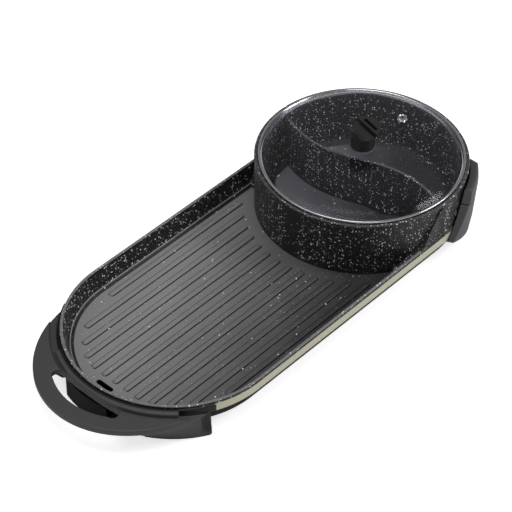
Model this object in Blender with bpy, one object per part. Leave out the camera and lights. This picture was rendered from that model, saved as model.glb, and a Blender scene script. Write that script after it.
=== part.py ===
"""Hot pot and grill combo: a long die-cast pan with a ribbed grill basin and a round, divided pot,
on a heated base with a loop handle at the grill end and a control housing at the pot end.

Units are metres and +Z is up. Lengths are laid out from the pot's axis, with the grill towards -X.
One empty carries every piece and moves the whole to the middle of its own footprint.
"""
import math

import bmesh
import bpy
from mathutils import Matrix, Vector

for old in list(bpy.data.objects):
    bpy.data.objects.remove(old, do_unlink=True)

# Driving dimensions of the pan
HALF_WIDTH = 0.140
ARC_SPAN = 0.350
GRILL_RIM_Z = 0.052
POT_RIM_Z = 0.106
FLOOR_Z = 0.0235
FLOOR_WALL = 0.004
RIM_LIP = 0.0045
SKIRT_HEIGHT = 0.004
BAND_HEIGHT = 0.013

# Clearances and working allowances
GAP = 0.0003
RUN_GAP = 0.0005
OVERRUN = 0.010
SINK = 0.0015

# Roundness of the solids
ARC_STEPS = 24
TURN_STEPS = 48
SMALL_STEPS = 16
ROUND_ANGLE = math.radians(40)

GRILL_CENTRE_X = -ARC_SPAN
SKIRT_Z = GRILL_RIM_Z - SKIRT_HEIGHT
BAND_TOP_Z = SKIRT_Z - GAP
BAND_BOTTOM_Z = SKIRT_Z - BAND_HEIGHT
UNDER_Z = FLOOR_Z - FLOOR_WALL
WHOLE_TOP_Z = POT_RIM_Z + OVERRUN


# Materials

def finish(name, colour, roughness, metallic=0.0, alpha=1.0):
    made = bpy.data.materials.new(name)
    made.use_nodes = True
    shader = made.node_tree.nodes["Principled BSDF"]
    shader.inputs["Base Color"].default_value = (*colour, 1.0)
    shader.inputs["Roughness"].default_value = roughness
    shader.inputs["Metallic"].default_value = metallic
    shader.inputs["Alpha"].default_value = alpha
    return made


COATING = ("granite_coating", (0.022, 0.022, 0.023), 0.42, 0.0)
CHAMPAGNE = ("champagne_paint", (0.44, 0.42, 0.32), 0.38, 0.25)
BLACK_STEEL = ("black_enamel_steel", (0.012, 0.012, 0.012), 0.45, 0.1)
BRIGHT_STEEL = ("polished_steel", (0.62, 0.62, 0.63), 0.16, 1.0)
REFLECTOR = ("aluminised_steel", (0.70, 0.70, 0.70), 0.32, 1.0)
BLACK_PLASTIC = ("black_phenolic", (0.030, 0.030, 0.031), 0.40, 0.0)
RUBBER = ("black_rubber", (0.018, 0.018, 0.018), 0.75, 0.0)
GLASS = ("tempered_glass", (0.80, 0.82, 0.84), 0.03, 0.0)
CERAMIC = ("white_ceramic", (0.72, 0.70, 0.64), 0.55, 0.0)
SILICONE = ("grey_silicone", (0.09, 0.09, 0.095), 0.65, 0.0)
RED_LENS = ("red_lens", (0.55, 0.03, 0.02), 0.20, 0.0)
WIRE_SLEEVE = ("glass_fibre_sleeve", (0.60, 0.56, 0.45), 0.70, 0.0)

frame_root = bpy.data.objects.new("assembly", None)
bpy.context.scene.collection.objects.link(frame_root)


# Mesh helpers

def add_object(name, mesh_data, look=None, origin=(0.0, 0.0, 0.0)):
    made = bpy.data.objects.new(name, mesh_data)
    bpy.context.scene.collection.objects.link(made)
    if any(origin):
        mesh_data.transform(Matrix.Translation(-Vector(origin)))
        made.location = origin
    made.parent = frame_root
    if look is not None:
        made.data.materials.clear()
        made.data.materials.append(finish(name + "_" + look[0], *look[1:]))
        made.data.shade_smooth()
        made.data.set_sharp_from_angle(angle=ROUND_ANGLE)
    return made


def mesh_of(name, bm):
    bmesh.ops.remove_doubles(bm, verts=bm.verts, dist=GAP / 100)
    bmesh.ops.recalc_face_normals(bm, faces=bm.faces)
    data = bpy.data.meshes.new(name)
    bm.to_mesh(data)
    bm.free()
    return data


def loft(name, rings, closed=False):
    """Skin through rings of equal count; closed joins last to first, otherwise both ends are capped."""
    bm = bmesh.new()
    rows = [[bm.verts.new(point) for point in ring] for ring in rings]
    count = len(rows[0])
    pairs = list(zip(rows, rows[1:]))
    if closed:
        pairs.append((rows[-1], rows[0]))
    for lower, upper in pairs:
        for i in range(count):
            j = (i + 1) % count
            bm.faces.new((lower[i], lower[j], upper[j], upper[i]))
    if not closed:
        bm.faces.new(list(reversed(rows[0])))
        bm.faces.new(rows[-1])
    return mesh_of(name, bm)


def turned(name, profile, centre=(0.0, 0.0), steps=TURN_STEPS, closed=False):
    """Solid of revolution about a vertical axis from (radius, height) pairs."""
    bm = bmesh.new()
    rows = []
    for radius, height in profile:
        if radius <= 0.0:
            rows.append([bm.verts.new((centre[0], centre[1], height))])
            continue
        row = []
        for k in range(steps):
            turn = math.tau * k / steps
            x = centre[0] + radius * math.cos(turn)
            y = centre[1] + radius * math.sin(turn)
            row.append(bm.verts.new((x, y, height)))
        rows.append(row)
    pairs = list(zip(rows, rows[1:]))
    if closed:
        pairs.append((rows[-1], rows[0]))
    for lower, upper in pairs:
        for i in range(steps):
            j = (i + 1) % steps
            if len(lower) == 1 and len(upper) == 1:
                continue
            if len(lower) == 1:
                bm.faces.new((lower[0], upper[j], upper[i]))
            elif len(upper) == 1:
                bm.faces.new((lower[i], lower[j], upper[0]))
            else:
                bm.faces.new((lower[i], lower[j], upper[j], upper[i]))
    return mesh_of(name, bm)


def prism(name, outline, low, high, axis="Z"):
    """Straight prism: the outline lies across the named axis and runs from low to high along it."""
    def place(u, v, w):
        if axis == "Z":
            return (u, v, w)
        if axis == "Y":
            return (u, w, v)
        return (w, u, v)
    return loft(name, [[place(u, v, low) for u, v in outline], [place(u, v, high) for u, v in outline]])


def block(name, low, high):
    corners = [(low[0], low[1]), (high[0], low[1]), (high[0], high[1]), (low[0], high[1])]
    return prism(name, corners, low[2], high[2])


def evaluated(carrier):
    bpy.context.view_layer.update()
    graph = bpy.context.evaluated_depsgraph_get()
    return bpy.data.meshes.new_from_object(carrier.evaluated_get(graph))


def combine(base, others, operation):
    """Boolean each mesh of others into the base mesh in turn and return the new mesh."""
    holder = bpy.data.objects.new("boolean_base", base)
    bpy.context.scene.collection.objects.link(holder)
    for other in others:
        tool = bpy.data.objects.new("boolean_tool", other)
        bpy.context.scene.collection.objects.link(tool)
        step = holder.modifiers.new("boolean", "BOOLEAN")
        step.operation = operation
        step.object = tool
        result = evaluated(holder)
        holder.modifiers.clear()
        holder.data = result
        bpy.data.objects.remove(tool, do_unlink=True)
    final = holder.data
    bpy.data.objects.remove(holder, do_unlink=True)
    bm = bmesh.new()
    bm.from_mesh(final)
    bmesh.ops.remove_doubles(bm, verts=bm.verts, dist=GAP / 100)
    bmesh.ops.dissolve_degenerate(bm, edges=bm.edges, dist=GAP / 100)
    data = bpy.data.meshes.new("combined")
    bm.to_mesh(data)
    bm.free()
    return data


def cut(base, *others):
    return combine(base, others, "DIFFERENCE")


def fuse(base, *others):
    return combine(base, others, "UNION")


def keep_common(base, *others):
    return combine(base, others, "INTERSECT")


def arc_points(cx, cy, rx, ry, start, end, steps):
    """Points on an elliptic arc, angles in degrees, both ends included."""
    points = []
    for k in range(steps + 1):
        turn = math.radians(start + (end - start) * k / steps)
        points.append((cx + rx * math.cos(turn), cy + ry * math.sin(turn)))
    return points


def pan_outline(inset, steps=ARC_STEPS):
    """Stadium plan of the pan drawn in by inset: pot arc, far side, grill arc, near side."""
    radius = HALF_WIDTH - inset
    pot_arc = arc_points(0.0, 0.0, radius, radius, -90, 90, steps)
    grill_arc = arc_points(GRILL_CENTRE_X, 0.0, radius, radius, 90, 270, steps)
    return pot_arc + grill_arc


def pan_ring(inset, height, steps=ARC_STEPS):
    return [(x, y, height) for x, y in pan_outline(inset, steps)]


def capsule_outline(x0, x1, y, radius, steps=6):
    right = arc_points(x1 - radius, y, radius, radius, -90, 90, steps)
    left = arc_points(x0 + radius, y, radius, radius, 90, 270, steps)
    return right + left


def circle_round(centre, radius, side, other, steps):
    """Points of a circle about centre, in the plane of the unit vectors side and other."""
    points = []
    for k in range(steps):
        turn = math.tau * k / steps
        points.append(centre + radius * (math.cos(turn) * side + math.sin(turn) * other))
    return points


def bar_along(name, start, end, stations, steps=SMALL_STEPS):
    """Turned bar on any axis: stations are (distance from start, radius)."""
    start = Vector(start)
    along = (Vector(end) - start).normalized()
    side = along.orthogonal().normalized()
    other = along.cross(side)
    return loft(name, [circle_round(start + along * distance, radius, side, other, steps)
                       for distance, radius in stations])


def cylinder_along(name, start, end, radius, steps=SMALL_STEPS):
    """Solid round bar from start to end."""
    length = (Vector(end) - Vector(start)).length
    return bar_along(name, start, end, ((0.0, radius), (length, radius)), steps)


# Pan casting: one aluminium casting of the grill basin, the pot and its curved divider

WALL_INSET_TOP = 0.0035
WALL_INSET_LOW = 0.0085
WALL_INSET_FOOT = 0.0135
WALL_LOW_RISE = 0.0060
WALL_LOW_Z = UNDER_Z + WALL_LOW_RISE
CREASE_INSET = 0.0120
CREASE_RISE = 0.0035
CREASE_Z = FLOOR_Z + CREASE_RISE
FLOOR_INSET = 0.0155
RIM_ROUND = 0.0008
POT_WALL_INSET = 0.0015
POT_LIP_HEIGHT = 0.0035
POT_UNDER_DROP = 0.0005
POT_INNER_INSET = 0.0075
POT_INNER_LOW_INSET = 0.0130
POT_FLOOR_INSET = 0.0240
POT_INNER_R = HALF_WIDTH - POT_INNER_INSET
POT_INNER_LOW_R = HALF_WIDTH - POT_INNER_LOW_INSET
POT_FLOOR_R = HALF_WIDTH - POT_FLOOR_INSET
POT_FILLET_RISE = 0.0090
LEDGE_DROP = 0.0035
LEDGE_INSET = 0.0048
LEDGE_R = HALF_WIDTH - LEDGE_INSET
POT_UNDER_Z = UNDER_Z - POT_UNDER_DROP
LEDGE_Z = POT_RIM_Z - LEDGE_DROP

DIVIDER_DROP = 0.009
DIVIDER_TOP_T = 0.0045
DIVIDER_FOOT_T = 0.0080
DIVIDER_SWING = 0.016
DIVIDER_STEPS = 18

RAMP_LENGTH = 0.076
RAMP_REACH_IN = 0.035
RAMP_FACE_INSET = 0.0004
# Shares of the ramp's length back from the pot axis, and of its rise
RAMP_SHARES = ((1.0, 0.0), (0.89, 0.12), (0.76, 0.25), (0.61, 0.345), (0.50, 0.41), (0.42, 0.54),
               (0.34, 0.67), (0.26, 0.78), (0.17, 0.885), (0.08, 0.955), (0.0, 1.0))

RIB_COUNT = 13
RIB_FIELD_INSET = 0.0284
RIB_SHIFT = 0.0018
RIB_PITCH = 2 * (HALF_WIDTH - RIB_FIELD_INSET) / (RIB_COUNT - 1)
RIB_WIDTH = 0.0064
RIB_HEIGHT = 0.0020
RIB_DRAFT = 0.0006
RIB_END_INSET = 0.0275
RIB_POT_GAP = 0.015
RIB_END_R = HALF_WIDTH - RIB_END_INSET
RIB_POT_R = HALF_WIDTH + RIB_POT_GAP
SLOT_INSET = 0.0265
SLOT_X = GRILL_CENTRE_X - HALF_WIDTH + SLOT_INSET
SLOT_Y = 0.007
SLOT_LENGTH = 0.026
SLOT_WIDTH = 0.0065
SLOT_RIB_GAP = 0.008

BOSS_R = 0.0055
BOSS_BORE_R = 0.0019
HEATER_INSET = 0.072
HEATER_OUTER_Y = HALF_WIDTH - HEATER_INSET
HEATER_INNER_Y = 0.024
BOSS_SIDE_Y = (HEATER_OUTER_Y + HEATER_INNER_Y) / 2
BOSS_GRILL_AHEAD = 0.015
BOSS_MIDDLE_AHEAD = 0.135
BOSS_GRILL_X = GRILL_CENTRE_X + BOSS_GRILL_AHEAD
BOSS_MIDDLE_X = GRILL_CENTRE_X + BOSS_MIDDLE_AHEAD
BOSS_PLACES = ((BOSS_GRILL_X, -BOSS_SIDE_Y), (BOSS_GRILL_X, BOSS_SIDE_Y), (BOSS_MIDDLE_X, 0.0),
               (0.0, 0.0))
DISH_WALL = 0.0012
DISH_BOTTOM_Z = 0.006
DISH_FLOOR_Z = DISH_BOTTOM_Z + DISH_WALL
BOSS_Z = DISH_FLOOR_Z + GAP


def rib_span(y):
    """Start and end in X of the rib at y: inside the end arc, clear of the slot and of the pot."""
    start = GRILL_CENTRE_X - math.sqrt(max(RIB_END_R ** 2 - y ** 2, 0.0))
    if abs(y - SLOT_Y) < (SLOT_LENGTH + RIB_WIDTH) / 2:
        start = max(start, SLOT_X + SLOT_WIDTH / 2 + SLOT_RIB_GAP)
    end = -math.sqrt(max(RIB_POT_R ** 2 - y ** 2, 0.0))
    return start, end


def divider_x(y):
    return -DIVIDER_SWING * math.sin(math.pi * y / POT_INNER_R)


def make_pan_casting():
    tub = loft("tub", [pan_ring(0.0, POT_UNDER_Z + GAP), pan_ring(0.0, GRILL_RIM_Z - RIM_ROUND),
                       pan_ring(RIM_ROUND, GRILL_RIM_Z)])
    wall_r = HALF_WIDTH - POT_WALL_INSET
    rim_r = HALF_WIDTH - GAP
    outside = [(0.0, POT_UNDER_Z), (wall_r, POT_UNDER_Z), (wall_r, POT_RIM_Z - POT_LIP_HEIGHT),
               (rim_r, POT_RIM_Z - POT_LIP_HEIGHT + POT_WALL_INSET), (rim_r, POT_RIM_Z - RIM_ROUND),
               (rim_r - RIM_ROUND, POT_RIM_Z), (0.0, POT_RIM_Z)]
    pot = turned("pot", outside, steps=2 * ARC_STEPS)
    rise = POT_RIM_Z - SINK - FLOOR_Z
    slope = [(-share * RAMP_LENGTH, FLOOR_Z + lift * rise) for share, lift in RAMP_SHARES]
    profile = slope + [(0.0, UNDER_Z + SINK), (-RAMP_LENGTH, UNDER_Z + SINK)]
    outer_y = HALF_WIDTH - RAMP_FACE_INSET
    ramps = [prism("ramp", profile, outer_y - RAMP_REACH_IN, outer_y, axis="Y"),
             prism("ramp", profile, -outer_y, RAMP_REACH_IN - outer_y, axis="Y")]

    basin = loft("basin", [pan_ring(FLOOR_INSET, FLOOR_Z), pan_ring(CREASE_INSET, CREASE_Z),
                           pan_ring(RIM_LIP, GRILL_RIM_Z), pan_ring(RIM_LIP, GRILL_RIM_Z + OVERRUN)])
    keep_out = turned("keep_out", [(0.0, POT_UNDER_Z), (wall_r, POT_UNDER_Z), (wall_r, WHOLE_TOP_Z),
                                   (0.0, WHOLE_TOP_Z)], steps=2 * ARC_STEPS)
    basin = cut(basin, keep_out, *[ramp.copy() for ramp in ramps])

    outside = HALF_WIDTH + OVERRUN
    flank = loft("flank", [pan_ring(HALF_WIDTH - outside, POT_UNDER_Z - OVERRUN),
                           pan_ring(HALF_WIDTH - outside, SKIRT_Z),
                           pan_ring(WALL_INSET_TOP, SKIRT_Z), pan_ring(WALL_INSET_LOW, WALL_LOW_Z),
                           pan_ring(WALL_INSET_FOOT, POT_UNDER_Z),
                           pan_ring(WALL_INSET_FOOT, POT_UNDER_Z - OVERRUN)], closed=True)

    bowl = [(0.0, FLOOR_Z), (POT_FLOOR_R, FLOOR_Z), (POT_INNER_LOW_R, FLOOR_Z + POT_FILLET_RISE),
            (POT_INNER_R, LEDGE_Z - RIM_LIP), (POT_INNER_R, LEDGE_Z), (LEDGE_R, LEDGE_Z),
            (LEDGE_R, WHOLE_TOP_Z), (0.0, WHOLE_TOP_Z)]
    hollow = turned("hollow", bowl, steps=2 * ARC_STEPS)
    divider_top = POT_RIM_Z - DIVIDER_DROP
    sections = []
    for k in range(DIVIDER_STEPS + 1):
        y = HALF_WIDTH * (2 * k / DIVIDER_STEPS - 1)
        x = divider_x(y)
        sections.append([(x - DIVIDER_FOOT_T / 2, y, FLOOR_Z - SINK),
                         (x + DIVIDER_FOOT_T / 2, y, FLOOR_Z - SINK),
                         (x + DIVIDER_TOP_T / 2, y, divider_top),
                         (x - DIVIDER_TOP_T / 2, y, divider_top)])
    hollow = cut(hollow, loft("divider", sections))

    casting = fuse(tub, pot, *ramps)
    casting = cut(casting, basin, flank, hollow)

    for k in range(RIB_COUNT):
        y = (k - (RIB_COUNT - 1) / 2) * RIB_PITCH + RIB_SHIFT
        start, end = rib_span(y)
        wide = capsule_outline(start, end, y, RIB_WIDTH / 2)
        slim = capsule_outline(start + RIB_DRAFT, end - RIB_DRAFT, y, RIB_WIDTH / 2 - RIB_DRAFT)
        rib = loft("rib", [[(x, v, FLOOR_Z - SINK) for x, v in wide], [(x, v, FLOOR_Z) for x, v in wide],
                           [(x, v, FLOOR_Z + RIB_HEIGHT) for x, v in slim]])
        casting = fuse(casting, rib)
    slot_outline = [(SLOT_X + v, SLOT_Y + u) for u, v in
                    capsule_outline(-SLOT_LENGTH / 2, SLOT_LENGTH / 2, 0.0, SLOT_WIDTH / 2)]
    casting = cut(casting, prism("slot", slot_outline, POT_UNDER_Z - OVERRUN, FLOOR_Z + OVERRUN))
    for x, y in BOSS_PLACES:
        boss = cylinder_along("boss", (x, y, BOSS_Z), (x, y, UNDER_Z + SINK), BOSS_R)
        bore = cylinder_along("bore", (x, y, BOSS_Z - OVERRUN), (x, y, UNDER_Z), BOSS_BORE_R)
        casting = cut(fuse(casting, boss), bore)
    return add_object("pan_casting", casting, COATING)


# Base: champagne band, black dish, heat reflector and the parts under the pan

BAND_INSET = 0.0006
BAND_WALL = 0.0010
BAND_FLANGE_INSET = 0.0058
DISH_RIM_Z = BAND_BOTTOM_Z - GAP
DISH_RIM_INSET = 0.0040
DISH_FOOT_INSET = 0.0300
# Outside of the dish from the foot up: share of the way in from rim to foot, share of the height
DISH_SIDE_SHARES = ((1.0, 0.0), (0.846, 0.021), (0.481, 0.157), (0.173, 0.470), (0.031, 0.836),
                    (0.0, 1.0))
DISH_SIDE = [(DISH_RIM_INSET + (DISH_FOOT_INSET - DISH_RIM_INSET) * inward,
              DISH_BOTTOM_Z + (DISH_RIM_Z - DISH_BOTTOM_Z) * upward) for inward, upward in DISH_SIDE_SHARES]
CORE_GAP = 0.0006

VENT_COUNT = 4
VENT_PITCH = 0.016
VENT_LENGTH = 0.050
VENT_WIDTH = 0.0035
VENT_AHEAD = 0.050
VENT_X = GRILL_CENTRE_X + VENT_AHEAD
DISH_HOLE_R = 0.0024

REFLECTOR_INSET = 0.050
REFLECTOR_WALL = 0.0006
REFLECTOR_RISE = 0.0024
REFLECTOR_TOP_Z = DISH_FLOOR_Z + REFLECTOR_RISE
REFLECTOR_HOLE_R = BOSS_R + RUN_GAP

HEATER_R = 0.0033
HEATER_ARC_AHEAD = 0.015
HEATER_END_AHEAD = 0.050
HEATER_POT_ROOM = 0.050
HEATER_ARC_X = GRILL_CENTRE_X + HEATER_ARC_AHEAD
HEATER_TURN_X = -HALF_WIDTH - HEATER_POT_ROOM
HEATER_END_X = GRILL_CENTRE_X + HEATER_END_AHEAD
HEATER_SIDES = 8
POT_HEATER_R = 0.078
POT_HEATER_HALF_GAP = 0.0162

TRAY_OUT = 0.0095
TRAY_IN = 0.044
TRAY_LIP_IN = 0.014
TRAY_FRONT_R = HALF_WIDTH + TRAY_OUT
TRAY_FRONT_X = GRILL_CENTRE_X - TRAY_FRONT_R
TRAY_FRONT_STEPS = 12
TRAY_PANEL_T = 0.0020
TRAY_STEP = 0.0004
TRAY_PANEL_TOP_Z = 0.0355
TRAY_BACK_X = GRILL_CENTRE_X - HALF_WIDTH + TRAY_IN
TRAY_LIP_X = GRILL_CENTRE_X - HALF_WIDTH + TRAY_LIP_IN
TRAY_HALF_Y = 0.036
TRAY_BOTTOM_Z = 0.0040
TRAY_TOP_Z = 0.0165
TRAY_WALL = 0.0016
TRAY_LIP = 0.0030
TRAY_LIP_T = 0.0014
RUNNER_T = 0.0014
RUNNER_TOP_Z = UNDER_Z - GAP

SCREW_R = 0.0016
SCREW_HEAD_R = 0.0032
SCREW_HEAD_T = 0.0018
SCREW_BORE_R = SCREW_R + GAP

WIRE_R = 0.0009
WIRE_SIDES = 6
WIRE_Z = REFLECTOR_TOP_Z + GAP + WIRE_R
WIRE_PITCH = 0.006


def dish_rings(extra):
    """Outside of the dish grown by extra, as rings from the bottom up."""
    return [pan_ring(inset - extra, height) for inset, height in DISH_SIDE]


def make_core():
    """Everything that the end pieces must clear: dish, band, skirt and pot wall, grown by the core gap."""
    rings = [pan_ring(DISH_SIDE[0][0], DISH_BOTTOM_Z - OVERRUN)] + dish_rings(CORE_GAP)
    rings.append(pan_ring(-CORE_GAP, DISH_RIM_Z + GAP / 2))
    rings.append(pan_ring(-CORE_GAP, WHOLE_TOP_Z))
    return loft("core", rings)


def make_band():
    rings = [pan_ring(BAND_INSET, BAND_BOTTOM_Z), pan_ring(BAND_INSET, BAND_TOP_Z),
             pan_ring(BAND_INSET + BAND_WALL, BAND_TOP_Z),
             pan_ring(BAND_INSET + BAND_WALL, BAND_BOTTOM_Z + BAND_WALL),
             pan_ring(BAND_FLANGE_INSET, BAND_BOTTOM_Z + BAND_WALL),
             pan_ring(BAND_FLANGE_INSET, BAND_BOTTOM_Z)]
    return add_object("base_band", loft("band", rings, closed=True), CHAMPAGNE)


def radial_point(angle, radius, height, centre_x):
    turn = math.radians(angle)
    return (centre_x + radius * math.cos(turn), radius * math.sin(turn), height)


END_SCREW_Z = 0.014
END_SCREW_DEPTH = 0.0210
END_SCREW_SHORT = 0.0010
END_SCREW_IN = HALF_WIDTH - END_SCREW_DEPTH
END_SCREW_OUT = HALF_WIDTH - END_SCREW_SHORT
HANDLE_SCREW_ANGLE = 134.0
LEG_SCREW_ANGLE = 47.0
# Name, centre of the arc and angle about it of each screw that holds an end piece to the dish
END_SCREWS = (("grill_handle_screw_near", GRILL_CENTRE_X, -HANDLE_SCREW_ANGLE),
              ("grill_handle_screw_far", GRILL_CENTRE_X, HANDLE_SCREW_ANGLE),
              ("pot_leg_screw_near", 0.0, -LEG_SCREW_ANGLE),
              ("pot_leg_screw_far", 0.0, LEG_SCREW_ANGLE))
WIRE_DOOR_HALF_Y = 0.016
WIRE_DOOR_Z = 0.0200


def end_screw_cutter(centre_x, angle, radius):
    return cylinder_along("bore", radial_point(angle, END_SCREW_IN, END_SCREW_Z, centre_x),
                          radial_point(angle, END_SCREW_OUT + RUN_GAP, END_SCREW_Z, centre_x), radius)


def make_dish():
    inner = [pan_ring(DISH_SIDE[0][0] + DISH_WALL, DISH_FLOOR_Z)]
    for inset, height in DISH_SIDE[1:]:
        lift = DISH_WALL if height < DISH_BOTTOM_Z + DISH_WALL else 0.0
        inner.append(pan_ring(inset + DISH_WALL, height + lift))
    dish = loft("dish", dish_rings(0.0) + list(reversed(inner)))
    reach = TRAY_HALF_Y + TRAY_LIP + 3 * RUNNER_T
    room = block("tray_room", (TRAY_FRONT_X - OVERRUN, SLOT_Y - reach, DISH_BOTTOM_Z - OVERRUN),
                 (TRAY_BACK_X + 2 * RUNNER_T, SLOT_Y + reach, RUNNER_TOP_Z))
    door = block("wire_door", (HALF_WIDTH / 2, -WIRE_DOOR_HALF_Y, DISH_FLOOR_Z + GAP),
                 (HALF_WIDTH + OVERRUN, WIRE_DOOR_HALF_Y, WIRE_DOOR_Z))
    cutters = [room, door]
    for x, y in BOSS_PLACES:
        cutters.append(cylinder_along("hole", (x, y, DISH_BOTTOM_Z - OVERRUN),
                                      (x, y, DISH_FLOOR_Z + GAP / 2), DISH_HOLE_R))
    for k in range(VENT_COUNT):
        y = (k - (VENT_COUNT - 1) / 2) * VENT_PITCH
        vent = capsule_outline(VENT_X, VENT_X + VENT_LENGTH, y, VENT_WIDTH / 2, 4)
        cutters.append(prism("vent", vent, DISH_BOTTOM_Z - OVERRUN, DISH_FLOOR_Z + GAP / 2))
    for _, centre_x, angle in END_SCREWS:
        cutters.append(end_screw_cutter(centre_x, angle, DISH_HOLE_R))
    return add_object("base_dish", cut(dish, *cutters), BLACK_STEEL)


def make_reflector():
    low = DISH_FLOOR_Z + GAP
    top = REFLECTOR_TOP_Z
    plate = loft("reflector", [pan_ring(REFLECTOR_INSET, low), pan_ring(REFLECTOR_INSET, top)])
    inside = loft("inside", [pan_ring(REFLECTOR_INSET + REFLECTOR_WALL, low - OVERRUN),
                             pan_ring(REFLECTOR_INSET + REFLECTOR_WALL, top - REFLECTOR_WALL)])
    holes = [cylinder_along("hole", (x, y, low - OVERRUN), (x, y, top + OVERRUN), REFLECTOR_HOLE_R)
             for x, y in BOSS_PLACES]
    return add_object("heat_reflector", cut(plate, inside, *holes), REFLECTOR)


def swept_tube(name, points, radius, sides, look):
    """Round tube along a list of points, flat ends."""
    points = [Vector(p) for p in points]
    rings = []
    side = None
    for k, here in enumerate(points):
        before = points[max(k - 1, 0)]
        after = points[min(k + 1, len(points) - 1)]
        along = (after - before).normalized()
        if side is None:
            side = along.orthogonal().normalized()
        side = (side - along * side.dot(along)).normalized()
        rings.append(circle_round(here, radius, side, along.cross(side), sides))
    return add_object(name, loft(name, rings), look)


def make_heaters():
    z = UNDER_Z - GAP - HEATER_R
    turn_r = (HEATER_OUTER_Y - HEATER_INNER_Y) / 2
    turn_y = (HEATER_OUTER_Y + HEATER_INNER_Y) / 2
    path = [(HEATER_END_X, HEATER_INNER_Y)]
    path += arc_points(HEATER_TURN_X, turn_y, turn_r, turn_r, -90, 90, 8)
    path += arc_points(HEATER_ARC_X, 0.0, HEATER_OUTER_Y, HEATER_OUTER_Y, 90, 270, 16)
    path += arc_points(HEATER_TURN_X, -turn_y, turn_r, turn_r, -90, 90, 8)
    path.append((HEATER_END_X, -HEATER_INNER_Y))
    swept_tube("grill_heater", [(x, y, z) for x, y in path], HEATER_R, HEATER_SIDES, BRIGHT_STEEL)
    z = POT_UNDER_Z - GAP - HEATER_R
    half = math.degrees(math.asin(POT_HEATER_HALF_GAP / POT_HEATER_R))
    ring = arc_points(0.0, 0.0, POT_HEATER_R, POT_HEATER_R, 180 + half, 540 - half, 32)
    swept_tube("pot_heater", [(x, y, z) for x, y in ring], HEATER_R, HEATER_SIDES, BRIGHT_STEEL)


CLAMP_HALF = 0.005
CLAMP_T = 0.0010
CLAMP_POST_R = 0.003
POT_CLAMP_ANGLE = 60.0


def make_clamp(name, tube_x, tube_y, angle, under_z):
    """Strap under the heater tube, with a post up to the casting on the side that the angle names."""
    c, s = math.cos(math.radians(angle)), math.sin(math.radians(angle))
    post_at = HEATER_R + RUN_GAP + CLAMP_POST_R
    corners = ((-HEATER_R, -CLAMP_HALF), (post_at + CLAMP_POST_R, -CLAMP_HALF),
               (post_at + CLAMP_POST_R, CLAMP_HALF), (-HEATER_R, CLAMP_HALF))
    top = under_z - 2 * GAP - 2 * HEATER_R
    plan = [(tube_x + u * c - v * s, tube_y + u * s + v * c) for u, v in corners]
    strap = prism("strap", plan, top - CLAMP_T, top)
    post_x = tube_x + post_at * c
    post_y = tube_y + post_at * s
    post = cylinder_along("post", (post_x, post_y, top - CLAMP_T / 2), (post_x, post_y, under_z - GAP),
                          CLAMP_POST_R, 12)
    return add_object(name, fuse(strap, post), BRIGHT_STEEL)


def make_clamps():
    make_clamp("grill_heater_clamp_left", HEATER_ARC_X - HEATER_OUTER_Y, 0.0, 0.0, UNDER_Z)
    turn_y = (HEATER_OUTER_Y + HEATER_INNER_Y) / 2
    for side, label in ((-1, "near"), (1, "far")):
        make_clamp("grill_heater_clamp_" + label, HEATER_TURN_X + turn_room(), side * turn_y, 180.0,
                   UNDER_Z)
        x, y, _ = radial_point(side * POT_CLAMP_ANGLE, POT_HEATER_R, 0.0, 0.0)
        make_clamp("pot_heater_clamp_" + label, x, y, 180.0 + side * POT_CLAMP_ANGLE, POT_UNDER_Z)


TERMINAL_OUT = 0.0020
TERMINAL_X = HALF_WIDTH + TERMINAL_OUT
TERMINAL_DEPTH = 0.0046
TERMINAL_HALF_Y = 0.013
TERMINAL_TOP_Z = 0.0430
TERMINAL_WIRE_Z = 0.0300
WIRE_BEND_IN = 0.0240
WIRE_DOOR_IN = 0.0150
WIRE_SLOT_IN = 0.0055
WIRE_ENTRY_IN = 0.0010
WIRE_DOOR_RISE = 0.0020
WIRE_ENTRY_DROP = 0.0025


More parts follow.
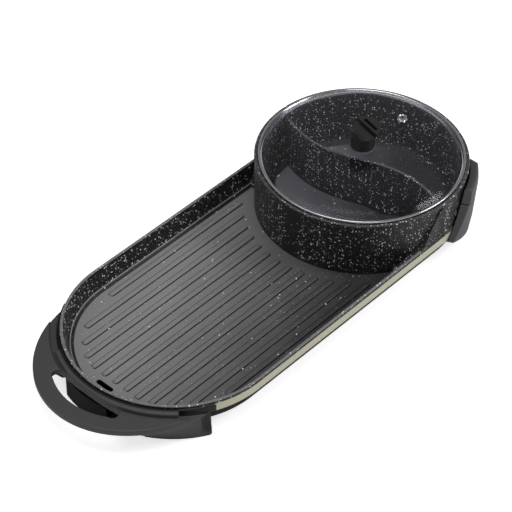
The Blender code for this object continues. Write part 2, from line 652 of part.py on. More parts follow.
def make_wires():
    """Four sleeved wires from the heater ends, over the reflector and through the dish into the housing."""
    climb = [(HALF_WIDTH - WIRE_BEND_IN, WIRE_Z), (HALF_WIDTH - WIRE_DOOR_IN, WIRE_Z + WIRE_DOOR_RISE),
             (HALF_WIDTH - WIRE_SLOT_IN, HOUSE_BOTTOM_Z),
             (HALF_WIDTH - WIRE_ENTRY_IN, TERMINAL_WIRE_Z - WIRE_ENTRY_DROP),
             (TERMINAL_X - GAP - WIRE_R, TERMINAL_WIRE_Z), (TERMINAL_X - GAP, TERMINAL_WIRE_Z)]
    grill_start = HEATER_END_X - WIRE_R - GAP
    pot_end_y = POT_HEATER_HALF_GAP
    pot_end_x = -math.sqrt(POT_HEATER_R ** 2 - pot_end_y ** 2)
    heater_z = UNDER_Z - GAP - HEATER_R
    routes = (("wire_grill_return", grill_start, -HEATER_INNER_Y),
              ("wire_pot_return", pot_end_x, -pot_end_y),
              ("wire_pot_live", pot_end_x, pot_end_y),
              ("wire_grill_live", grill_start, HEATER_INNER_Y))
    for k, (name, start_x, start_y) in enumerate(routes):
        lane_y = (k - (len(routes) - 1) / 2) * WIRE_PITCH
        side = 1 if start_y > 0 else -1
        drop = (heater_z - WIRE_Z) / 2
        if start_x < HEATER_TURN_X:
            points = [(start_x, start_y, heater_z), (start_x - drop, start_y, heater_z - drop),
                      (start_x - drop, start_y - side * drop, WIRE_Z),
                      (start_x, start_y - 3 * side * drop, WIRE_Z),
                      (HEATER_TURN_X - 2 * turn_room(), lane_y + side * BOSS_R, WIRE_Z),
                      (HEATER_TURN_X + turn_room(), lane_y + side * BOSS_R, WIRE_Z)]
        else:
            points = [(start_x, start_y - side * (WIRE_R + GAP), heater_z - drop / 2),
                      (start_x + 2 * drop, start_y - side * (HEATER_R + 2 * WIRE_R), WIRE_Z)]
        points.append((-2 * BOSS_R, lane_y + side * BOSS_R, WIRE_Z))
        points.append((2 * BOSS_R, lane_y + side * BOSS_R, WIRE_Z))
        points += [(x, lane_y, z) for x, z in climb]
        swept_tube(name, points, WIRE_R, WIRE_SIDES, WIRE_SLEEVE)


def turn_room():
    return (HEATER_OUTER_Y - HEATER_INNER_Y) / 2


def make_tray():
    """Grease tray on two runners; its curved front rises behind the finger opening as a panel."""
    y0, y1 = SLOT_Y - TRAY_HALF_Y, SLOT_Y + TRAY_HALF_Y

    def ring(inset, front_inset, z):
        low, high = y0 + inset, y1 - inset
        radius = TRAY_FRONT_R - front_inset
        steps = [high + (low - high) * k / TRAY_FRONT_STEPS for k in range(TRAY_FRONT_STEPS + 1)]
        front = [(GRILL_CENTRE_X - math.sqrt(radius ** 2 - y ** 2), y, z) for y in steps]
        return front + [(TRAY_BACK_X - inset, low, z), (TRAY_BACK_X - inset, high, z)]

    shell = loft("tray", [ring(0.0, 0.0, TRAY_BOTTOM_Z), ring(0.0, 0.0, TRAY_PANEL_TOP_Z)])
    behind = loft("behind", [ring(-OVERRUN, TRAY_PANEL_T, TRAY_TOP_Z),
                             ring(-OVERRUN, TRAY_PANEL_T, TRAY_PANEL_TOP_Z + OVERRUN)])
    shell = cut(shell, behind)
    lips = block("lips", (TRAY_LIP_X, y0 - TRAY_LIP, TRAY_TOP_Z - TRAY_LIP_T),
                 (TRAY_BACK_X, y1 + TRAY_LIP, TRAY_TOP_Z))
    front_inset = TRAY_PANEL_T + TRAY_STEP
    hollow = loft("hollow", [ring(TRAY_WALL, front_inset, TRAY_BOTTOM_Z + TRAY_WALL),
                             ring(TRAY_WALL, front_inset, TRAY_TOP_Z + OVERRUN)])
    add_object("drip_tray", cut(fuse(shell, lips), hollow), BLACK_STEEL)
    for label, side in (("near", -1), ("far", 1)):
        edge = SLOT_Y + side * TRAY_HALF_Y
        ledge_z = TRAY_TOP_Z - TRAY_LIP_T - GAP
        first = edge + side * RUN_GAP
        web_in = first + side * TRAY_LIP
        web_out = web_in + side * RUNNER_T
        section = [(first, ledge_z - RUNNER_T), (web_out, ledge_z - RUNNER_T), (web_out, RUNNER_TOP_Z),
                   (web_in, RUNNER_TOP_Z), (web_in, ledge_z), (first, ledge_z)]
        runner = prism("runner", section, TRAY_LIP_X, TRAY_BACK_X, axis="X")
        add_object("tray_runner_" + label, runner, BRIGHT_STEEL)


def make_base_screws():
    for k, (x, y) in enumerate(BOSS_PLACES):
        head_z = DISH_BOTTOM_Z - GAP
        stations = ((0.0, SCREW_HEAD_R), (SCREW_HEAD_T, SCREW_HEAD_R), (SCREW_HEAD_T, SCREW_R),
                    (UNDER_Z - head_z, SCREW_R))
        start = (x, y, head_z - SCREW_HEAD_T)
        screw = bar_along("screw", start, (x, y, UNDER_Z), stations, 12)
        add_object("base_screw_%d" % (k + 1), screw, BRIGHT_STEEL)
    for name, centre_x, angle in END_SCREWS:
        start = radial_point(angle, END_SCREW_IN, END_SCREW_Z, centre_x)
        end = radial_point(angle, END_SCREW_OUT, END_SCREW_Z, centre_x)
        stations = ((0.0, SCREW_HEAD_R), (SCREW_HEAD_T, SCREW_HEAD_R), (SCREW_HEAD_T, SCREW_R),
                    (END_SCREW_OUT - END_SCREW_IN, SCREW_R))
        add_object(name, bar_along("screw", start, end, stations, 12), BRIGHT_STEEL)


# Grill-end handle: a flat loop with a finger opening on two legs

LOOP_BACK = 0.050
LOOP_OUT = 0.055
LOOP_NARROW = 0.014
LOOP_CUT_BACK = 0.063
LOOP_DROP = 0.0065
LOOP_CENTRE_X = GRILL_CENTRE_X - LOOP_BACK
LOOP_HALF_X = HALF_WIDTH + LOOP_OUT - LOOP_BACK
LOOP_HALF_Y = HALF_WIDTH - LOOP_NARROW
LOOP_CUT_X = GRILL_CENTRE_X - LOOP_CUT_BACK
LOOP_TOP_Z = GRILL_RIM_Z - LOOP_DROP
LOOP_THICK = 0.0090
LOOP_EDGE = 0.0010
LIP_OUT = 0.0095
LIP_DROP = 0.0035
LIP_TOP_Z = GRILL_RIM_Z - LIP_DROP
LEG_BOTTOM_Z = 0.0025
LEG_ANGLES = (209.0, 242.0)
LEG_FOOT_OUT = 0.005
LEG_FOOT_WIDTH = 0.0265
LEG_BACK_IN = 0.024
LEG_FOOT_R = HALF_WIDTH + LEG_FOOT_OUT
LEG_BACK_R = HALF_WIDTH - LEG_BACK_IN
LEG_STEPS = 8
FINGER_BAR = 0.0215
FINGER_SIDE = 0.023
FINGER_CLEAR = 0.008
FINGER_OUT_X = LOOP_HALF_X - FINGER_BAR
FINGER_OUT_Y = LOOP_HALF_Y - FINGER_SIDE
FINGER_IN_X = HALF_WIDTH + FINGER_CLEAR - LOOP_BACK
FINGER_IN_Y = 0.200
FINGER_HALF_ANGLE = 27.0
FOOT_T = 0.0025
FOOT_INSET = 0.0015


def loop_edge_radius(angle):
    """Distance from the grill arc's centre to the loop's outline along the angle."""
    turn = math.radians(angle)
    c, s = math.cos(turn), math.sin(turn)
    shift = GRILL_CENTRE_X - LOOP_CENTRE_X
    a = (c / LOOP_HALF_X) ** 2 + (s / LOOP_HALF_Y) ** 2
    b = 2 * shift * c / LOOP_HALF_X ** 2
    k = (shift / LOOP_HALF_X) ** 2 - 1
    return (-b + math.sqrt(b * b - 4 * a * k)) / (2 * a)


def leg_ring(angles, outer, inner, z):
    angles_out = [angles[0] + (angles[1] - angles[0]) * k / LEG_STEPS for k in range(LEG_STEPS + 1)]
    points = [radial_point(a, outer(a), z, GRILL_CENTRE_X) for a in angles_out]
    points += [radial_point(a, inner, z, GRILL_CENTRE_X) for a in reversed(angles_out)]
    return points


def make_grill_handle(core):
    def plan(inset):
        reach = math.degrees(math.acos((LOOP_CUT_X - LOOP_CENTRE_X) / (LOOP_HALF_X - inset)))
        return arc_points(LOOP_CENTRE_X, 0.0, LOOP_HALF_X - inset, LOOP_HALF_Y - inset,
                          reach, 360 - reach, 36)

    def ring(inset, z):
        return [(x, y, z) for x, y in plan(inset)]

    under = LOOP_TOP_Z - LOOP_THICK
    plate = loft("plate", [ring(2 * LOOP_EDGE, under), ring(0.0, under + LOOP_EDGE),
                           ring(0.0, LOOP_TOP_Z - LOOP_EDGE), ring(LOOP_EDGE, LOOP_TOP_Z)])
    lip = loft("lip", [pan_ring(-LIP_OUT, under + LOOP_EDGE), pan_ring(-LIP_OUT, LIP_TOP_Z - LOOP_EDGE),
                       pan_ring(LOOP_EDGE - LIP_OUT, LIP_TOP_Z)])
    lip = cut(lip, block("right_side", (LOOP_CUT_X, -HALF_WIDTH - OVERRUN, 0.0),
                         (HALF_WIDTH + OVERRUN, HALF_WIDTH + OVERRUN, WHOLE_TOP_Z)))
    legs = []
    for angles in (LEG_ANGLES, (360 - LEG_ANGLES[1], 360 - LEG_ANGLES[0])):
        def top_edge(angle):
            return loop_edge_radius(angle) - 3 * LOOP_EDGE

        def foot_edge(angle):
            return LEG_FOOT_R

        middle_z = (under + LEG_BOTTOM_Z) / 2

        def middle_edge(angle):
            return (top_edge(angle) + foot_edge(angle)) / 2

        legs.append(loft("leg", [leg_ring(angles, foot_edge, LEG_BACK_R, LEG_BOTTOM_Z),
                                 leg_ring(angles, middle_edge, LEG_BACK_R, middle_z),
                                 leg_ring(angles, top_edge, LEG_BACK_R, under),
                                 leg_ring(angles, top_edge, LEG_BACK_R, under + 2 * LOOP_EDGE)]))
    end_y = FINGER_OUT_Y * math.sin(math.radians(FINGER_HALF_ANGLE))
    inner_half = math.degrees(math.asin(end_y / FINGER_IN_Y))
    outer = arc_points(LOOP_CENTRE_X, 0.0, FINGER_OUT_X, FINGER_OUT_Y, 180 - FINGER_HALF_ANGLE,
                       180 + FINGER_HALF_ANGLE, 14)
    inner = arc_points(LOOP_CENTRE_X, 0.0, FINGER_IN_X, FINGER_IN_Y, 180 + inner_half,
                       180 - inner_half, 8)
    end_x = (outer[-1][0] + inner[0][0]) / 2
    end_r = (inner[0][0] - outer[-1][0]) / 2
    near_end = arc_points(end_x, outer[-1][1], end_r, end_r, 180, 360, 6)
    far_end = arc_points(end_x, outer[0][1], end_r, end_r, 0, 180, 6)
    hole = outer[:-1] + near_end + inner[1:-1] + far_end[:-1]
    opening = prism("finger_opening", hole, 0.0, WHOLE_TOP_Z)
    handle = fuse(plate, lip, *legs)
    bores = [end_screw_cutter(centre_x, angle, SCREW_BORE_R) for _, centre_x, angle in END_SCREWS[:2]]
    add_object("grill_handle", cut(handle, core, opening, *bores), BLACK_PLASTIC)
    for angles, label in ((LEG_ANGLES, "near"), ((360 - LEG_ANGLES[1], 360 - LEG_ANGLES[0]), "far")):
        margin = math.degrees(FOOT_INSET / LEG_FOOT_R)
        inside = (angles[0] + margin, angles[1] - margin)
        foot_out = LEG_FOOT_R - FOOT_INSET
        rings = [leg_ring(inside, lambda angle: foot_out, foot_out - LEG_FOOT_WIDTH, z)
                 for z in (0.0, FOOT_T - GAP)]
        add_object("grill_foot_" + label, loft("foot", rings), RUBBER)


# Pot-end housing and its legs

HOUSE_NEAR_OUT = 0.0080
HOUSE_SIDE_OUT = 0.0135
HOUSE_END_OUT = 0.020
HOUSE_NEAR_R = HALF_WIDTH + HOUSE_NEAR_OUT
HOUSE_SIDE_R = HALF_WIDTH + HOUSE_SIDE_OUT
HOUSE_ARC = (-92.0, -37.0)
HOUSE_ARC_STEPS = 7
HOUSE_END_X = HALF_WIDTH + HOUSE_END_OUT
HOUSE_CORNER = 0.009
HOUSE_CORNER_RUN = 0.0135
HOUSE_CORNER_STEPS = 6
HOUSE_BOTTOM_Z = 0.020
HOUSE_TOP_DROP = 0.012
HOUSE_FULL_DROP = 0.026
HOUSE_TOP_Z = POT_RIM_Z - HOUSE_TOP_DROP
HOUSE_FULL_Z = POT_RIM_Z - HOUSE_FULL_DROP
HOUSE_DRAFT = 0.0035
HOUSE_EDGE = 0.0040
HOUSE_WALL = 0.0028
HOUSE_ROOM_HALF_Y = 0.062
BOX_TOP_Z = 0.058
SHOULDER_IN = 0.036
SHOULDER_X = HALF_WIDTH - SHOULDER_IN
SHOULDER_RUN = 0.022
SEAM_IN = 0.107
SEAM_X = HALF_WIDTH - SEAM_IN
SEAM_Z = 0.080
SEAM_FALL = 0.52
EDGE_FOOT_X = 0.007
EDGE_LEAN = 0.65
POT_LEG_FOOT_IN = 0.058
POT_LEG_FOOT_OUT = 0.022
POT_LEG_SIDE_IN = 0.018
POT_LEG_FOOT = (HALF_WIDTH - POT_LEG_FOOT_IN, HALF_WIDTH - POT_LEG_FOOT_OUT)
POT_LEG_SIDE_X = HALF_WIDTH - POT_LEG_SIDE_IN
POT_FOOT_INSET = 0.0042


def seam_z(x):
    return SEAM_Z - SEAM_FALL * (x - SEAM_X)


def edge_x(z):
    return EDGE_FOOT_X + EDGE_LEAN * (z - BAND_BOTTOM_Z)


def house_outline(inset):
    """Plan of the pot-end pieces: two side arcs, straight flanks and a flat end with eased corners."""
    half = []
    for k in range(HOUSE_ARC_STEPS + 1):
        share = k / HOUSE_ARC_STEPS
        angle = math.radians(HOUSE_ARC[0] + (HOUSE_ARC[1] - HOUSE_ARC[0]) * share)
        swell = (HOUSE_SIDE_R - HOUSE_NEAR_R) * math.sin(share * math.pi / 2)
        radius = HOUSE_NEAR_R + swell - inset
        half.append((radius * math.cos(angle), radius * math.sin(angle)))
    start = Vector(half[-1])
    along = (start - Vector(half[-2])).normalized()
    end_x = HOUSE_END_X - inset
    reach = (end_x - start.x) / along.x
    corner = start + along * reach
    before = corner - along * HOUSE_CORNER_RUN
    after = corner + Vector((0.0, HOUSE_CORNER))
    for k in range(HOUSE_CORNER_STEPS + 1):
        t = k / HOUSE_CORNER_STEPS
        point = before * (1 - t) ** 2 + corner * 2 * t * (1 - t) + after * t ** 2
        half.append((point.x, point.y))
    return half + [(x, -y) for x, y in reversed(half)]


def house_ring(inset, z):
    return [(x, y, z) for x, y in house_outline(inset)]


def house_sides(low_z):
    return loft("house", [house_ring(HOUSE_DRAFT, low_z), house_ring(0.0, HOUSE_FULL_Z),
                          house_ring(HOUSE_EDGE / 4, HOUSE_TOP_Z - HOUSE_EDGE),
                          house_ring(HOUSE_EDGE, HOUSE_TOP_Z)])


KNOB_Y = 0.0295
KNOB_Z = 0.039
LAMP_Y = 0.0155
LAMP_Z = 0.0500
LAMP_R = 0.0025
LAMP_TIP = 0.0010
LAMP_TIP_R = 0.0015
INLET_Z = 0.0345
INLET_HALF_Y = 0.0120
INLET_HALF_Z = 0.0085
INLET_FLANGE = 0.0030
INLET_FLANGE_T = 0.0016
INLET_DEPTH = 0.0130
INLET_WALL = 0.0016
PIN_R = 0.0015
PIN_PITCH = 0.0070
SHAFT_R = 0.0030
KNOB_R = 0.0115
KNOB_T = 0.0115
# Share of the knob's thickness, share of its radius
KNOB_SHARES = ((0.0, 1.0), (0.26, 1.0), (0.30, 0.88), (0.95, 0.80), (1.0, 0.72))
KNOB_POINTER_T = 0.0015
KNOB_POINTER_LONG = 0.0092
THERMOSTAT_R = 0.0085
THERMOSTAT_T = 0.0110
HOUSE_SCREW_OUT = 0.0054
HOUSE_SCREW_ANGLE = 47.1
HOUSE_SCREW_TOP = 0.062
HOUSE_SCREW_HEAD_Z = 0.0120


def side_prism(name, outline):
    reach = HALF_WIDTH + 2 * OVERRUN
    return prism(name, outline, -reach, reach, axis="Y")


def above_shoulder(drop):
    """Space above the housing's sloping shoulder and its low control box, lowered by drop."""
    low_x = SHOULDER_X + SHOULDER_RUN
    past_end = HOUSE_END_X + 2 * OVERRUN
    outline = [(SHOULDER_X - HOUSE_EDGE, HOUSE_TOP_Z), (SHOULDER_X, HOUSE_TOP_Z - HOUSE_EDGE / 2),
               (low_x - HOUSE_EDGE, BOX_TOP_Z + HOUSE_EDGE), (low_x, BOX_TOP_Z),
               (HOUSE_END_X - HOUSE_EDGE, BOX_TOP_Z), (HOUSE_END_X, BOX_TOP_Z - HOUSE_EDGE),
               (past_end, BOX_TOP_Z - HOUSE_EDGE), (past_end, WHOLE_TOP_Z),
               (SHOULDER_X - HOUSE_EDGE, WHOLE_TOP_Z)]
    return side_prism("above_shoulder", [(x - drop, z - drop) for x, z in outline])


def house_screw_line(side, z):
    return radial_point(side * HOUSE_SCREW_ANGLE, HALF_WIDTH + HOUSE_SCREW_OUT, z, 0.0)


def make_housing(core):
    left, right = -HALF_WIDTH / 2, HOUSE_END_X + 2 * OVERRUN
    seam_end = POT_LEG_SIDE_X + GAP
    below = side_prism("below_seam", [(left, -HALF_WIDTH), (seam_end, -HALF_WIDTH),
                                      (seam_end, seam_z(seam_end)), (left, seam_z(left))])
    before = side_prism("before_edge", [(left, -OVERRUN), (left, WHOLE_TOP_Z),
                                        (edge_x(WHOLE_TOP_Z), WHOLE_TOP_Z), (edge_x(-OVERRUN), -OVERRUN)])
    room = loft("room", [house_ring(HOUSE_DRAFT + HOUSE_WALL, HOUSE_BOTTOM_Z + HOUSE_WALL),
                         house_ring(HOUSE_WALL, HOUSE_FULL_Z),
                         house_ring(HOUSE_WALL, HOUSE_TOP_Z - HOUSE_WALL)])
    room = keep_common(room, block("room_limit", (HALF_WIDTH / 2, -HOUSE_ROOM_HALF_Y, 0.0),
                                   (right, HOUSE_ROOM_HALF_Y, BOX_TOP_Z - HOUSE_WALL)))
    room = cut(room, above_shoulder(HOUSE_WALL))
    wall_x = HOUSE_END_X - 2 * HOUSE_WALL
    cutters = [core, below, before, above_shoulder(0.0), room]
    for side in (-1, 1):
        cutters.append(cylinder_along("shaft_hole", (wall_x - OVERRUN, side * KNOB_Y, KNOB_Z),
                                      (right, side * KNOB_Y, KNOB_Z), SHAFT_R + RUN_GAP))
        cutters.append(cylinder_along("lamp_hole", (wall_x - OVERRUN, side * LAMP_Y, LAMP_Z),
                                      (right, side * LAMP_Y, LAMP_Z), LAMP_R + GAP, 12))
        cutters.append(cylinder_along("screw_hole", house_screw_line(side, 0.0),
                                      house_screw_line(side, HOUSE_SCREW_TOP + RUN_GAP),
                                      SCREW_BORE_R, 12))
    hole_y = INLET_HALF_Y + GAP
    hole_z = INLET_HALF_Z + GAP
    cutters.append(block("inlet_hole", (wall_x - OVERRUN, -hole_y, INLET_Z - hole_z),
                         (right, hole_y, INLET_Z + hole_z)))
    cutters.append(block("wire_slot", (HALF_WIDTH / 2, -WIRE_DOOR_HALF_Y, HOUSE_BOTTOM_Z - OVERRUN),
                         (TERMINAL_X - RUN_GAP, WIRE_DOOR_HALF_Y, HOUSE_BOTTOM_Z + HOUSE_WALL + GAP)))
    add_object("pot_end_housing", cut(house_sides(HOUSE_BOTTOM_Z), *cutters), BLACK_PLASTIC)


def make_pot_legs(core):
    seam_rise = SEAM_Z + SEAM_FALL * SEAM_X - BAND_BOTTOM_Z
    top_x = (EDGE_FOOT_X + EDGE_LEAN * seam_rise) / (1 + EDGE_LEAN * SEAM_FALL)
    drop = GAP * math.sqrt(1 + SEAM_FALL ** 2)
    outline = [(EDGE_FOOT_X, BAND_BOTTOM_Z), (POT_LEG_FOOT[0], LEG_BOTTOM_Z),
               (POT_LEG_FOOT[1], LEG_BOTTOM_Z),
               (POT_LEG_SIDE_X, seam_z(POT_LEG_SIDE_X) - drop), (top_x, seam_z(top_x) - drop)]
    foot_reach = POT_FOOT_INSET + FOOT_INSET
    for side, label in ((-1, "near"), (1, "far")):
        inner, outer = sorted((side * HALF_WIDTH / 3, side * (HALF_WIDTH + 2 * OVERRUN)))
        shape = keep_common(house_sides(0.0), prism("leg", outline, inner, outer, axis="Y"))
        bores = [end_screw_cutter(centre_x, angle, SCREW_BORE_R) for _, centre_x, angle in END_SCREWS[2:]]
        bores.append(cylinder_along("screw_hole", house_screw_line(side, -OVERRUN),
                                    house_screw_line(side, HOUSE_TOP_Z), SCREW_BORE_R, 12))
        bores.append(cylinder_along("screw_recess", house_screw_line(side, -OVERRUN),
                                    house_screw_line(side, HOUSE_SCREW_HEAD_Z + GAP),
                                    SCREW_HEAD_R + RUN_GAP, 12))
        add_object("pot_leg_" + label, cut(shape, core, *bores), BLACK_PLASTIC)

        pad = loft("pad", [house_ring(foot_reach, 0.0), house_ring(foot_reach, FOOT_T - GAP)])
        first = POT_LEG_FOOT[0] + FOOT_INSET
        last = POT_LEG_FOOT[1] - FOOT_INSET
        limit = [(first, -OVERRUN), (last, -OVERRUN), (last, OVERRUN), (first, OVERRUN)]
        pad = keep_common(pad, prism("pad_limit", limit, inner, outer, axis="Y"))
        back_r = HALF_WIDTH - 2 * FOOT_INSET
        back = turned("pad_back", [(0.0, -OVERRUN), (back_r, -OVERRUN), (back_r, OVERRUN), (0.0, OVERRUN)])
        hole = cylinder_along("pad_hole", house_screw_line(side, -OVERRUN), house_screw_line(side, OVERRUN),
                              SCREW_HEAD_R + RUN_GAP, 12)
        add_object("pot_foot_" + label, cut(pad, back, hole), RUBBER)

        length = HOUSE_SCREW_TOP - HOUSE_SCREW_HEAD_Z
        stations = ((0.0, SCREW_HEAD_R), (SCREW_HEAD_T, SCREW_HEAD_R), (SCREW_HEAD_T, SCREW_R),
                    (length + SCREW_HEAD_T, SCREW_R))
        start = house_screw_line(side, HOUSE_SCREW_HEAD_Z - SCREW_HEAD_T)
        screw = bar_along("screw", start, house_screw_line(side, HOUSE_TOP_Z), stations, 12)
        add_object("housing_screw_" + label, screw, BRIGHT_STEEL)


def make_housing_inside():
    front_in = HOUSE_END_X - HOUSE_DRAFT - HOUSE_WALL - GAP
    for side, label in ((-1, "grill"), (1, "pot")):
        y = side * KNOB_Y
        middle = front_in - THERMOSTAT_T / 2
        case = cylinder_along("case", (front_in - THERMOSTAT_T, y, KNOB_Z), (front_in, y, KNOB_Z),
                              THERMOSTAT_R)
        bore = cylinder_along("bore", (middle, y, KNOB_Z), (front_in + OVERRUN, y, KNOB_Z),
                              SHAFT_R + RUN_GAP, 12)
        add_object(label + "_thermostat", cut(case, bore), CERAMIC)
        shaft_end = HOUSE_END_X + GAP + KNOB_T - HOUSE_WALL
        shaft = cylinder_along("shaft", (middle + GAP, y, KNOB_Z), (shaft_end, y, KNOB_Z), SHAFT_R, 12)
        add_object(label + "_knob_shaft", shaft, BRIGHT_STEEL, origin=(HOUSE_END_X, y, KNOB_Z))

        low = HOUSE_END_X + GAP
        high = low + KNOB_T
        stations = [(share * KNOB_T, r_share * KNOB_R) for share, r_share in KNOB_SHARES]
        knob = bar_along("knob", (low, y, KNOB_Z), (high, y, KNOB_Z), stations, 20)
        pointer = block("pointer", (low + KNOB_T / 2, y - KNOB_POINTER_T / 2, KNOB_Z),
                        (high + GAP, y + KNOB_POINTER_T / 2, KNOB_Z + KNOB_POINTER_LONG))
        socket = cylinder_along("socket", (low - OVERRUN, y, KNOB_Z), (shaft_end + GAP, y, KNOB_Z),
                                SHAFT_R + GAP, 12)
        knob = cut(fuse(knob, pointer), socket)
        add_object(label + "_knob", knob, BLACK_PLASTIC, origin=(HOUSE_END_X, y, KNOB_Z))

        lamp_start = front_in - 2 * LAMP_R
        lamp_length = HOUSE_END_X - lamp_start
        lamp = bar_along("lamp", (lamp_start, side * LAMP_Y, LAMP_Z), (HOUSE_END_X, side * LAMP_Y, LAMP_Z),
                         ((0.0, LAMP_R), (lamp_length, LAMP_R), (lamp_length + LAMP_TIP, LAMP_TIP_R)), 12)
        add_object(label + "_lamp", lamp, RED_LENS)

    face = HOUSE_END_X + GAP
    back = face + INLET_FLANGE_T - INLET_DEPTH
    flange_y = INLET_HALF_Y + INLET_FLANGE
    flange_z = INLET_HALF_Z + INLET_FLANGE
    flange = block("flange", (face, -flange_y, INLET_Z - flange_z),
                   (face + INLET_FLANGE_T, flange_y, INLET_Z + flange_z))
    barrel = block("barrel", (back, -INLET_HALF_Y, INLET_Z - INLET_HALF_Z),
                   (face + INLET_FLANGE_T / 2, INLET_HALF_Y, INLET_Z + INLET_HALF_Z))
    recess_y = INLET_HALF_Y - INLET_WALL
    recess_z = INLET_HALF_Z - INLET_WALL
    recess = block("recess", (back + INLET_WALL, -recess_y, INLET_Z - recess_z),
                   (face + OVERRUN, recess_y, INLET_Z + recess_z))
    places = (-PIN_PITCH, 0.0, PIN_PITCH)
    holes = [cylinder_along("hole", (back - OVERRUN, y, INLET_Z), (back + 2 * INLET_WALL, y, INLET_Z),
                            PIN_R + GAP, 12) for y in places]
    add_object("inlet_socket", cut(fuse(flange, barrel), recess, *holes), BLACK_PLASTIC)
    pin_start = TERMINAL_X + TERMINAL_DEPTH + GAP
    for y, label in zip(places, ("live", "earth", "neutral")):
        pin = cylinder_along("pin", (pin_start, y, INLET_Z), (face - 2 * PIN_R, y, INLET_Z), PIN_R, 12)
        add_object("inlet_pin_" + label, pin, BRIGHT_STEEL)
    terminal = block("terminal", (TERMINAL_X, -TERMINAL_HALF_Y, HOUSE_BOTTOM_Z + HOUSE_WALL + GAP),
                     (TERMINAL_X + TERMINAL_DEPTH, TERMINAL_HALF_Y, TERMINAL_TOP_Z))
    add_object("terminal_block", terminal, CERAMIC)


# Lid: tempered glass dome in a steel rim, with a spoon-rest knob and a steam vent

LID_RIM_INSET = 0.0054
LID_RIM_WIDTH = 0.0056
LID_RIM_R = HALF_WIDTH - LID_RIM_INSET
LID_RIM_IN = LID_RIM_R - LID_RIM_WIDTH
LID_RIM_T = 0.0010
LID_SEAT_Z = LEDGE_Z + GAP
GLASS_T = 0.0036
GLASS_EDGE_R = LID_RIM_R - LID_RIM_T - GAP
GLASS_EDGE_Z = LID_SEAT_Z + LID_RIM_T + GAP
DOME_RISE = 0.0180
GLASS_TOP_Z = LID_SEAT_Z + DOME_RISE
VENT_PLACE_X = 0.081
VENT_BORE_R = 0.0045
VENT_FLANGE_R = 0.0062
VENT_FLANGE_T = 0.0010
VENT_HOLE_R = 0.0006
VENT_HOLE_RING_R = 0.0024
VENT_HOLE_COUNT = 5
VENT_HOLE_STEPS = 12
KNOB_HOLE_R = 0.0035
GASKET_R = 0.0168
GASKET_T = 0.0012
LID_KNOB_TOP_R = 0.0205
LID_KNOB_H = 0.0290
# Share of the knob's top radius, share of its height
LID_KNOB_SHARES = ((0.780, 0.0), (0.788, 0.35), (0.827, 0.60), (0.920, 0.80), (1.0, 1.0))
SCOOP_R = 0.0121
SCOOP_BACK = 0.0067
SCOOP_NEAR_RISE = 0.0296
SCOOP_FAR_RISE = 0.0331
SCOOP_HALF_LONG = 0.048
SPOON_SLOT_X = 0.0086
SPOON_SLOT_WIDE = 0.0041
SPOON_SLOT_HALF_LONG = 0.0127
SPOON_SLOT_DEPTH = 0.0064
LID_KNOB_BORE = 0.0102


def glass_profile(lift):
    """Outside of the glass from the edge to the crown as (radius, height)."""
    base = GLASS_EDGE_Z + lift
    top = GLASS_TOP_Z - GLASS_T + lift
    rise = top - base
    # Share of the edge radius, share of the rise from the edge to the crown
    dome_shares = ((1.0, 0.0), (0.985, 0.0), (0.955, 0.20), (0.930, 0.42), (0.900, 0.58), (0.850, 0.70),
                   (0.700, 0.83), (0.500, 0.93), (0.250, 0.985), (0.0, 1.0))
    return [(share * GLASS_EDGE_R, base + lift_share * rise) for share, lift_share in dome_shares]


def glass_height(radius, lift):
    profile = glass_profile(lift)
    for (r0, z0), (r1, z1) in zip(profile, profile[1:]):
        if r1 <= radius <= r0:
            return z0 + (z1 - z0) * (r0 - radius) / max(r0 - r1, GAP / 1000)
    return profile[-1][1]


